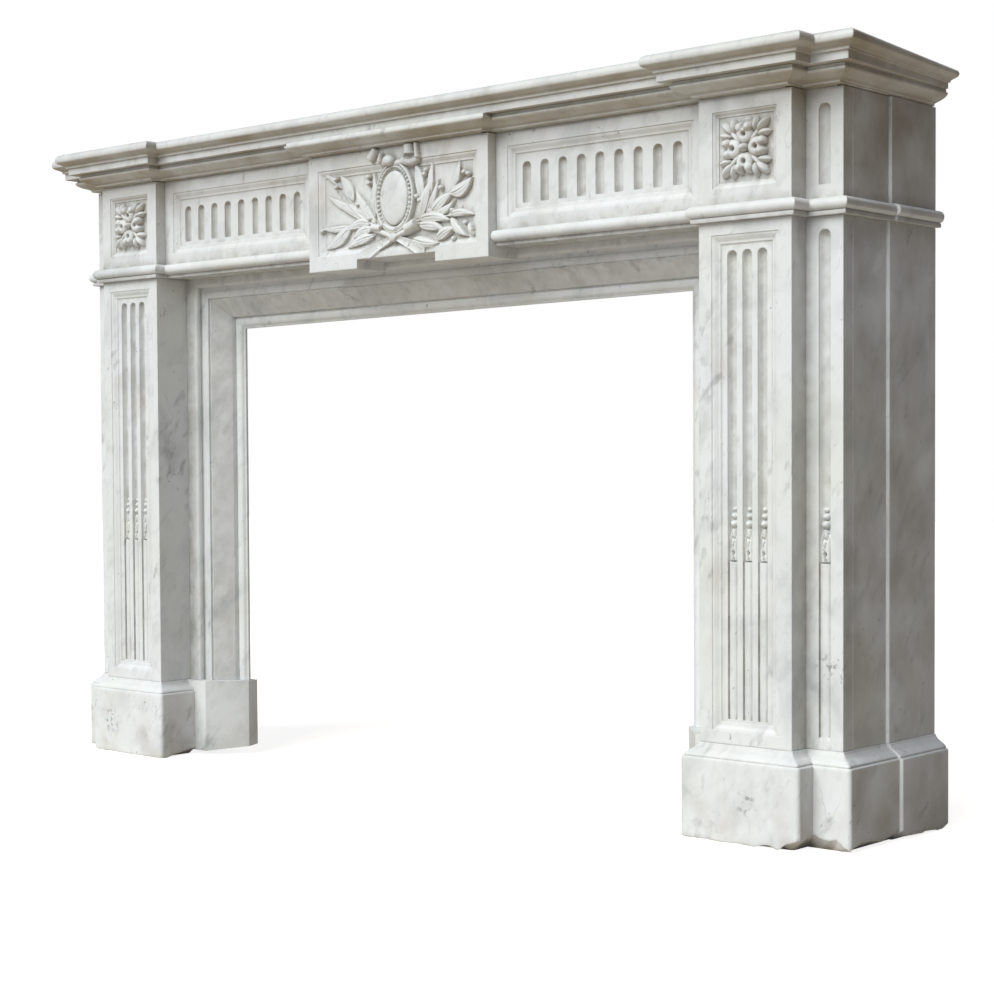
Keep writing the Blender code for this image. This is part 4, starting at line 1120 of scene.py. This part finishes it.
def build_plinths():
    """The stepped plinths, with worn corners and broken bottom edges."""
    spread = PLINTH_SIDE / PLINTH_FORE
    inner_depth = SLIP_BASE_LOW[1] - FACE_Y - JOINT
    face = lines((PILASTER_INNER, 0.005), (PILASTER_OUTER, 0.005))
    strip = lines((PILASTER_OUTER, 0.005), (STRIP_OUTER, 0.005))
    sides = lines((STRIP_SETBACK, 0.006), (JAMB_JOINT, 0.006))
    corners = [
        (PILASTER_INNER, inner_depth, -spread, 0, 0, lines((0, 0.008), (inner_depth, 0.008))),
        (PILASTER_INNER, 0, -spread, -1, 1, face),
        (PILASTER_OUTER, 0, spread, -1, 1),
        (PILASTER_OUTER, STRIP_SETBACK, spread, -1, 0, strip),
        (STRIP_OUTER, STRIP_SETBACK, spread, -1, 1, sides),
        (STRIP_OUTER, JAMB_JOINT - JOINT, spread, 0, 0.2),
        (SIDE_INNER, JAMB_JOINT - JOINT, 0, 0, 0),
        (SIDE_INNER, inner_depth, 0, 0, 0),
    ]
    rear = [
        (SIDE_INNER, JAMB_JOINT, 0, 0, 0),
        (REAR_OUTER, JAMB_JOINT, spread, 0, 0.45, lines((JAMB_JOINT, 0.006), (WALL_DEPTH, 0.006))),
        (REAR_OUTER, WALL_DEPTH, spread, 0, 0),
        (SIDE_INNER, WALL_DEPTH, 0, 0, 0),
    ]
    stones = (("plinth_block_", "plinth_", corners, BROKEN, 41),
              ("plinth_rear_block_", "plinth_rear_", rear, REAR_BROKEN, 44))
    for name, node, plan, breaks, bed in stones:
        for side, hand in HANDS:
            shape = raise_bottom(breaks[side])
            piece = block(name + side, plan, plinth_levels(), hand, shape=shape, bed=bed + hand)
            ride(piece, node + side, "plinth_marble")


def slip_profile():
    """Section of the slips, as (distance out from the opening's edge, depth), from outside in."""
    wide = PILASTER_INNER - OPENING_HALF
    face = HEADER_LOW[1] - FACE_Y
    back = HEADER_HIGH[1] - FACE_Y
    hidden = LINING_HIGH[0] - OPENING_HALF

    def from_face(*spots):
        return [(wide - away, face + deep) for away, deep in spots]

    def from_back(*spots):
        return [(out, back - rise) for out, rise in spots]

    bead = curve_levels(from_face((0.0235, 0), (0.0262, 0.0009), (0.0280, 0.0032), (0.0288, 0.0062),
                                  (0.0280, 0.0095), (0.0265, 0.0118)), 3)
    steps = from_face((0.0300, 0.0128), (0.0365, 0.0130), (0.0366, 0.0112), (0.0370, 0.0110),
                      (0.0470, 0.0110), (0.0475, 0.0113), (0.0480, 0.0158), (0.0486, 0.0162),
                      (0.0508, 0.0150)) + from_back((0.0214, 0.0182), (0.0210, 0.0176))
    hollow = curve_levels(from_back((0.0210, 0.0090), (0.0180, 0.0103), (0.0120, 0.0106),
                                    (0.0070, 0.0092), (0.0042, 0.0064), (0.0030, 0.0050)), 3)
    start = [(wide, back), (hidden, back), (hidden, face)] + from_face((0.010, 0))
    return start + bead + steps + hollow + from_back((0.0004, 0.0046), (0, 0.0042), (0, 0))


def build_slips():
    """The moulded lining of the opening: two uprights, and a header in three lengths."""
    profile = np.array(slip_profile())
    out = profile[:, 0]
    tilt = sizes().header_tilt * np.clip(1 - out / 0.1, 0, 1)
    edges = np.roll(profile, -1, axis=0) - profile
    bend = np.cross(np.roll(edges, 1, axis=0), edges)
    # Painted shade in the inside corners of the section, and a painted shadow on its outer band, under the
    # frieze and beside the pilasters
    dirt_and_shade = np.clip(-bend / 1e-5, 0, 1) * 0.6 + np.clip((out - 0.075) / 0.02, 0, 1)

    def lay(name, count, start, end, bed):
        """One length of lining, between the (x, height) of the sections at its two ends."""
        share = np.linspace(0, 1, count)[:, None]
        x = start[0] + share * (end[0] - start[0])
        z = start[1] + share * (end[1] - start[1])
        rings = np.stack([x, np.broadcast_to(FACE_Y + profile[:, 1], x.shape), z], axis=-1)
        ride(skin("lining_" + name, rings, np.broadcast_to(dirt_and_shade, x.shape), bed), "slip_" + name)

    mitre = OPENING_HALF + out
    for side, hand in HANDS:
        x = hand * mitre
        top = OPENING_HEIGHT + out + tilt * x - JOINT / 2
        lay("jamb_" + side, 24, (x, PLINTH_TOP), (x, top), 50 + hand)
    first, last = HEADER_JOINTS
    level = np.ones(len(profile))
    lengths = (
        ("left", -mitre, level * (first - JOINT / 2)),
        ("centre", level * (first + JOINT / 2), level * (last - JOINT / 2)),
        ("right", level * (last + JOINT / 2), mitre),
    )
    for number, (side, left, right) in enumerate(lengths):
        start, end = ((x, OPENING_HEIGHT + out + tilt * x + JOINT / 2) for x in (left, right))
        lay("header_" + side, 14, start, end, 53 + number)


def build_slip_bases():
    """The plain splayed blocks under the slips, raised off the floor at their broken feet."""
    inner, outer = SLIP_BASE_LOW[0], SLIP_BASE_HIGH[0]
    front, back = SLIP_BASE_LOW[1] - FACE_Y, SLIP_BASE_HIGH[1] - FACE_Y
    fold, splay = PILASTER_INNER - 0.0522, 0.0588
    zone = 0.02
    corners = [
        (outer, back, 0, 0, 0),
        (outer, front, 0, 0, 0),
        (fold, front, 0, 0, 0.6),
        (inner, front + splay, 0, 0, 0.6),
        (inner, back, 0, 0, 0),
    ]

    def lift_front(grid):
        share = np.clip((grid[..., 1] - front) / (back - front), 0, 1)
        lift = (0.008 + 0.010 * share) * (1 - grid[..., 2] / zone)
        grid[..., 2] += np.where(grid[..., 2] < zone, lift, 0)

    top = PLINTH_TOP - JOINT
    levels = [(0, 0), (0.001, 0), (zone, 0), (top - 0.0008, 0), (top, -0.0004)]
    pair("lining_base", "slip_plinth", corners, levels, 57, "plinth_marble", shape=lift_front)


def add_node(tree, kind, inputs=(), settings=(), **values):
    """Adds a node with its settings. Each input gets a socket to link or a value."""
    node = tree.nodes.new("ShaderNode" + kind)
    for key, value in dict(settings).items():
        setattr(node, key, value)
    named = {key.replace("_", " "): value for key, value in values.items()}
    for key, value in (dict(inputs) | named).items():
        if isinstance(value, bpy.types.NodeSocket):
            tree.links.new(value, node.inputs[key])
        else:
            node.inputs[key].default_value = value
    return node


# Marks in the marble: size in mm, detail, twist, stretch along the bed, where the noise starts and
# is full, how strong the mark is, the patches it keeps to (size in mm, start, full), and its colour
MARKS = {
    "yellowing": (170, 3, 0.0, 1.2, 0.42, 0.68, 0.70, (400, -2, -1), "warm"),
    "grey cloud": (60, 5, 0.6, 1.7, 0.48, 0.70, 0.46, (260, 0.36, 0.58), "vein"),
    "mottle": (13, 4, 0.3, 1.8, 0.52, 0.76, 0.34, (90, 0.40, 0.62), "vein"),
    "brown cloud": (52, 4, 0.5, 1.6, 0.50, 0.72, 0.26, (220, 0.44, 0.60), "stain"),
    "soft streak": (17, 4, 0.2, 3.0, 0.58, 0.74, 0.52, (95, 0.49, 0.60), "fleck"),
    "long streak": (30, 5, 0.3, 6.0, 0.60, 0.76, 0.46, (210, 0.48, 0.60), "fleck"),
    "dark fleck": (6.5, 2, 0.0, 1.7, 0.67, 0.73, 0.62, (55, 0.50, 0.64), "fleck"),
}
# Lines: the same, along the middle of the noise
HAIRLINES = {
    "grey vein": (120, 5, 0.2, 2.4, 0.022, 0.0, 0.24, (130, 0.50, 0.64), "vein"),
    "fine vein": (90, 4, 0.1, 5.0, 0.005, 0.0, 0.22, (60, 0.56, 0.64), "fleck"),
}

# Dark spots that stand out: place and reach in metres
SPOTS = (
    ((0.804, -0.071, 0.251), 0.030),
    ((0.834, -0.068, 0.236), 0.016),
    ((0.834, -0.070, 0.520), 0.014),
    ((-0.735, -0.126, 0.060), 0.035),
    ((-0.640, -0.126, 0.095), 0.018),
    ((0.700, -0.126, 0.060), 0.022),
    ((0.872, 0.120, 0.040), 0.035),
)


# Slant of the marble's bed, in radians, and the setting that multiplies two amounts
BED_SLANT = (-0.5, 0.35, 0.0)
TIMES = {"operation": "MULTIPLY"}

# The marble of each slot: its name, how stained it is near the floor, and its least roughness
MARBLES = {
    "carved_marble": ("honed statuary marble", 0.20, 0.40),
    "plinth_marble": ("worn statuary marble", 0.42, 0.48),
}


def patches(tree, place, size, detail, start, full, low=0.0, high=1.0):
    """Patches of a size in mm, from low to high where the noise goes from start to full."""
    noise = add_node(tree, "TexNoise", {"Vector": place}, Scale=1000 / size, Detail=detail)
    return add_node(tree, "MapRange", {"Value": noise.outputs["Fac"]}, From_Min=start, From_Max=full,
                    To_Min=low, To_Max=high).outputs[0]


def mark_layers(tree, place, colours):
    """The marks, veins and dark spots of the stone, each as (amount, colour)."""
    bed = add_node(tree, "Attribute", settings={"attribute_name": "bed"}).outputs["Fac"]
    deep = {"noise_dimensions": "4D"}
    for mark, values in (MARKS | HAIRLINES).items():
        size, detail, twist, stretch, start, full, strength, patch, tint = values
        laid = add_node(tree, "Mapping", {"Vector": place}, {"vector_type": "TEXTURE"},
                        Rotation=BED_SLANT, Scale=(1, 1, stretch))
        noise = add_node(tree, "TexNoise", {"Vector": laid.outputs[0], "W": bed}, deep,
                         Scale=1000 / size, Detail=detail, Distortion=twist).outputs["Fac"]
        if mark in HAIRLINES:
            middle = add_node(tree, "Math", {0: noise, 1: 0.5}, {"operation": "SUBTRACT"})
            noise = add_node(tree, "Math", {0: middle.outputs[0]}, {"operation": "ABSOLUTE"}).outputs[0]
        amount = add_node(tree, "MapRange", {"Value": noise}, From_Min=start, From_Max=full, To_Max=strength)
        spread = add_node(tree, "TexNoise", {"Vector": place, "W": bed}, deep,
                          Scale=1000 / patch[0], Detail=1.0)
        keep = add_node(tree, "MapRange", {"Value": spread.outputs["Fac"]},
                        From_Min=patch[1], From_Max=patch[2])
        amount = add_node(tree, "Math", {0: amount.outputs[0], 1: keep.outputs[0]}, TIMES)
        yield amount.outputs[0], getattr(colours, tint)
    grit = patches(tree, place, 9, 4, 0.54, 0.64, 0, 0.7)
    for spot, reach in SPOTS:
        away = add_node(tree, "VectorMath", {0: place, 1: spot}, {"operation": "DISTANCE"})
        close = add_node(tree, "MapRange", {"Value": away.outputs["Value"]},
                         From_Min=reach, From_Max=0.3 * reach)
        amount = add_node(tree, "Math", {0: grit, 1: close.outputs[0]}, TIMES)
        yield amount.outputs[0], colours.fleck


def stain_and_shade_layers(tree, place, colours, dirt):
    """Dirt with painted shade in the hollows, smoke with painted shade towards the shelf, painted shade on
    the outer sides, and stains near the floor.
    """
    # Dirt with painted shade in hollows, under the astragal, in corners and on the lining, broken into
    # patches
    dirt_and_shade = add_node(tree, "Attribute", settings={"attribute_name": "dirt_and_shade"}).outputs["Fac"]
    patchy = patches(tree, place, 22, 4, 0.35, 0.65, 0.22, 0.54)
    worn = add_node(tree, "Math", {0: dirt_and_shade, 1: patchy}, {**TIMES, "use_clamp": True})
    yield worn.outputs[0], colours.dirt_and_shade
    axes = add_node(tree, "SeparateXYZ", {"Vector": place}).outputs
    normal = add_node(tree, "NewGeometry").outputs["Normal"]
    film = patches(tree, place, 90, 5, 0.3, 0.7, 0.40, 1.0)
    high = add_node(tree, "MapRange", {"Value": axes["Z"]}, From_Min=0.84, From_Max=1.06, To_Max=0.95)
    # Yellow-brown towards the shelf, on faces turned away from forward and up: old smoke and painted shade
    facing = add_node(tree, "VectorMath", {0: normal, 1: (0, -0.8, 0.6)}, {"operation": "DOT_PRODUCT"})
    turned_away = add_node(tree, "MapRange", {"Value": facing.outputs["Value"]},
                       From_Min=0.62, From_Max=0.10, To_Min=0.15)
    smoke_and_shade = add_node(tree, "Math", {0: high.outputs[0], 1: turned_away.outputs[0]}, TIMES)
    smoke_and_shade = add_node(tree, "Math", {0: smoke_and_shade.outputs[0], 1: film}, TIMES)
    yield smoke_and_shade.outputs[0], colours.smoke_and_shade
    # Painted shade: the outer side faces are darkened in the dark brown-grey colour
    across = add_node(tree, "SeparateXYZ", {"Vector": normal}).outputs["X"]
    outward = add_node(tree, "Math", {0: across, 1: axes["X"]}, TIMES)
    side = add_node(tree, "MapRange", {"Value": outward.outputs[0]}, From_Min=0.86 * STRIP_OUTER,
                    From_Max=0.99 * STRIP_OUTER, To_Max=0.60)
    side = add_node(tree, "Math", {0: side.outputs[0], 1: film}, TIMES)
    yield side.outputs[0], colours.dirt_and_shade
    low = add_node(tree, "MapRange", {"Value": axes["Z"]}, From_Min=0.15, From_Max=0.0, To_Max=dirt)
    damp = patches(tree, place, 65, 5, 0.50, 0.74)
    stain = add_node(tree, "Math", {0: low.outputs[0], 1: damp}, TIMES)
    yield stain.outputs[0], colours.stain


def marble(name, dirt, polish):
    """Honed white statuary marble.

    Quarried, sawn and rubbed smooth: a cool white with faint grey clouds and small dark flecks, a
    low broken sheen, brown dirt with painted shade in the hollows and towards the shelf, and painted shade
    on the outer sides.
    """
    colours = bpy.context.scene.mantel_colours
    material = bpy.data.materials.new(name)
    material.use_nodes = True
    tree = material.node_tree
    shader = tree.nodes["Principled BSDF"]
    place = add_node(tree, "TexCoord").outputs["Object"]
    under = {}
    for layers in (mark_layers(tree, place, colours), stain_and_shade_layers(tree, place, colours, dirt)):
        for amount, tint in layers:
            stone = {"Color1": (*colours.stone, 1)} | under
            mixed = add_node(tree, "MixRGB", {"Fac": amount} | stone, Color2=(*tint, 1))
            under = {"Color1": mixed.outputs[0]}
    tree.links.new(under["Color1"], shader.inputs["Base Color"])
    sheen = patches(tree, place, 30, 4, 0.3, 0.7, polish, polish + 0.14)
    tree.links.new(sheen, shader.inputs["Roughness"])
    shader.inputs["IOR"].default_value = 1.50
    # Crystals of 1 mm would be lost at this distance, so the grain is drawn at 3.5 mm
    grain = add_node(tree, "TexNoise", {"Vector": place}, Scale=1000 / 3.5, Detail=3.0)
    bump = add_node(tree, "Bump", {"Height": grain.outputs["Fac"]}, Strength=0.35, Distance=0.00018)
    wave = add_node(tree, "TexNoise", {"Vector": place}, Scale=1000 / 34, Detail=2.0)
    tooling = add_node(tree, "Bump", {"Height": wave.outputs["Fac"], "Normal": bump.outputs["Normal"]},
                       Strength=0.5, Distance=0.0009)
    tree.links.new(tooling.outputs["Normal"], shader.inputs["Normal"])
    return material


def named_marble(slot):
    """The marble of a slot, made on first use."""
    name, dirt, polish = MARBLES[slot]
    return bpy.data.materials.get(name) or marble(name, dirt, polish)


def aim(thing, place, target):
    """Stands a light or camera at a place and turns it to a target."""
    thing.location = place
    thing.rotation_euler = (Vector(target) - Vector(place)).to_track_quat("-Z", "Y").to_euler()


def build_stage():
    """Pale floor, one large soft light from high in front, and an even dome."""
    stage = bpy.context.scene.mantel_stage
    mesh = bpy.data.meshes.new("floor")
    half = 12.0
    corners = [(-half, -half, 0), (half, -half, 0), (half, half, 0), (-half, half, 0)]
    mesh.from_pydata(corners, [], [(0, 1, 2, 3)])
    floor = bpy.data.objects.new("floor", mesh)
    bpy.context.scene.collection.objects.link(floor)
    paint = bpy.data.materials.new("matt floor paint")
    paint.use_nodes = True
    tree = paint.node_tree
    matt = tree.nodes["Principled BSDF"]
    matt.inputs["Base Color"].default_value = (*stage.floor, 1)
    matt.inputs["Roughness"].default_value = 0.8
    matt.inputs["Emission Color"].default_value = (1, 1, 1, 1)
    seen = add_node(tree, "LightPath").outputs["Is Camera Ray"]
    glow = add_node(tree, "MapRange", {"Value": seen}, To_Max=stage.glow)
    tree.links.new(glow.outputs[0], matt.inputs["Emission Strength"])
    mesh.materials.append(paint)
    data = bpy.data.lights.new("high window", "SUN")
    data.energy = stage.key
    data.angle = math.radians(52)
    data.color = stage.window
    window = bpy.data.objects.new("high window", data)
    bpy.context.scene.collection.objects.link(window)
    aim(window, (-0.10, -0.75, 0.65), (0, 0, 0))
    world = bpy.data.worlds.new("studio")
    bpy.context.scene.world = world
    world.use_nodes = True
    tree = world.node_tree
    dim = tree.nodes["Background"]
    dim.inputs["Color"].default_value = (*stage.sky, 1)
    dim.inputs["Strength"].default_value = stage.fill
    white = add_node(tree, "Background", Color=(1, 1, 1, 1))
    seen = add_node(tree, "LightPath").outputs["Is Camera Ray"]
    mix = add_node(tree, "MixShader", {0: seen, 1: dim.outputs[0], 2: white.outputs[0]})
    tree.links.new(mix.outputs[0], tree.nodes["World Output"].inputs["Surface"])
    bpy.context.scene.view_settings.view_transform = "Standard"


def build_camera():
    """The camera at the photograph's eye, direction and framing."""
    eye = Vector((2.2890, FACE_Y - 2.3511, 0.5504))
    yaw, pitch, roll = 0.72158, -0.033605, -0.005518
    ahead = Vector((-math.sin(yaw) * math.cos(pitch), math.cos(yaw) * math.cos(pitch), math.sin(pitch)))
    level = Vector((math.cos(yaw), math.sin(yaw), 0))
    upright = level.cross(ahead)
    right = math.cos(roll) * level + math.sin(roll) * upright
    up = math.cos(roll) * upright - math.sin(roll) * level
    data = bpy.data.cameras.new("camera")
    data.sensor_fit = "HORIZONTAL"
    data.sensor_width = 36.0
    focal, width, height, middle_row = 1998.93, 994, 995, 523.85
    data.lens = focal * data.sensor_width / width
    data.shift_y = (middle_row - height / 2) / width
    camera = bpy.data.objects.new("camera", data)
    camera.matrix_world = Matrix.Translation(eye) @ Matrix((right, up, -ahead)).transposed().to_4x4()
    bpy.context.scene.collection.objects.link(camera)
    bpy.context.scene.camera = camera


class MANTEL_OT_stage(bpy.types.Operator):
    """Makes the floor, the light and the camera"""

    bl_idname = "mantel.stage"
    bl_label = "Stage"

    def execute(self, context):
        build_stage()
        build_camera()
        return {"FINISHED"}


class MANTEL_OT_shelf(bpy.types.Operator):
    """Makes the shelf and the ovolo course under it"""

    bl_idname = "mantel.shelf"
    bl_label = "Shelf and bed mould"

    def execute(self, context):
        build_shelf()
        build_bed_mould()
        return {"FINISHED"}


class MANTEL_OT_centre(bpy.types.Operator):
    """Makes the centre block with its medallion"""

    bl_idname = "mantel.centre"
    bl_label = "Centre block"

    def execute(self, context):
        build_centre()
        return {"FINISHED"}


class MANTEL_OT_frieze(bpy.types.Operator):
    """Makes the fluted panels, the rosette blocks and the rear blocks of the frieze"""

    bl_idname = "mantel.frieze"
    bl_label = "Frieze"

    def execute(self, context):
        build_panels()
        build_corners()
        return {"FINISHED"}


class MANTEL_OT_jambs(bpy.types.Operator):
    """Makes the fluted pilasters and the rear side slabs"""

    bl_idname = "mantel.jambs"
    bl_label = "Pilasters"

    def execute(self, context):
        build_jambs()
        return {"FINISHED"}


class MANTEL_OT_plinths(bpy.types.Operator):
    """Makes the plinths"""

    bl_idname = "mantel.plinths"
    bl_label = "Plinths"

    def execute(self, context):
        build_plinths()
        return {"FINISHED"}


class MANTEL_OT_lining(bpy.types.Operator):
    """Makes the moulded lining of the fire opening"""

    bl_idname = "mantel.lining"
    bl_label = "Lining"

    def execute(self, context):
        build_slips()
        build_slip_bases()
        return {"FINISHED"}


OPERATORS = (
    MANTEL_OT_stage, MANTEL_OT_shelf, MANTEL_OT_centre, MANTEL_OT_frieze, MANTEL_OT_jambs, MANTEL_OT_plinths,
    MANTEL_OT_lining,
)


class MANTEL_PT_panel(bpy.types.Panel):
    """Lists the settings and the steps that build the mantel"""

    bl_idname = "MANTEL_PT_panel"
    bl_label = "Mantel"
    bl_space_type = "VIEW_3D"
    bl_region_type = "UI"
    bl_category = "Mantel"

    def draw(self, context):
        for name in ("mantel_sizes", "mantel_colours", "mantel_stage"):
            group = getattr(context.scene, name)
            box = self.layout.box()
            for key in group.__annotations__:
                box.prop(group, key)
        for operator in OPERATORS:
            self.layout.operator(operator.bl_idname)


GROUPS = (("mantel_sizes", MantelSizes), ("mantel_colours", MantelColours), ("mantel_stage", MantelStage))


def register():
    for name, group in GROUPS:
        bpy.utils.register_class(group)
        setattr(bpy.types.Scene, name, bpy.props.PointerProperty(type=group))
    for operator in OPERATORS:
        bpy.utils.register_class(operator)
    bpy.utils.register_class(MANTEL_PT_panel)


def unregister():
    bpy.utils.unregister_class(MANTEL_PT_panel)
    for operator in reversed(OPERATORS):
        bpy.utils.unregister_class(operator)
    for name, group in reversed(GROUPS):
        delattr(bpy.types.Scene, name)
        bpy.utils.unregister_class(group)


def main():
    register()
    for step in (bpy.ops.mantel.stage, bpy.ops.mantel.shelf, bpy.ops.mantel.centre, bpy.ops.mantel.frieze,
                 bpy.ops.mantel.jambs, bpy.ops.mantel.plinths, bpy.ops.mantel.lining):
        step()


if __name__ == "__main__":
    main()
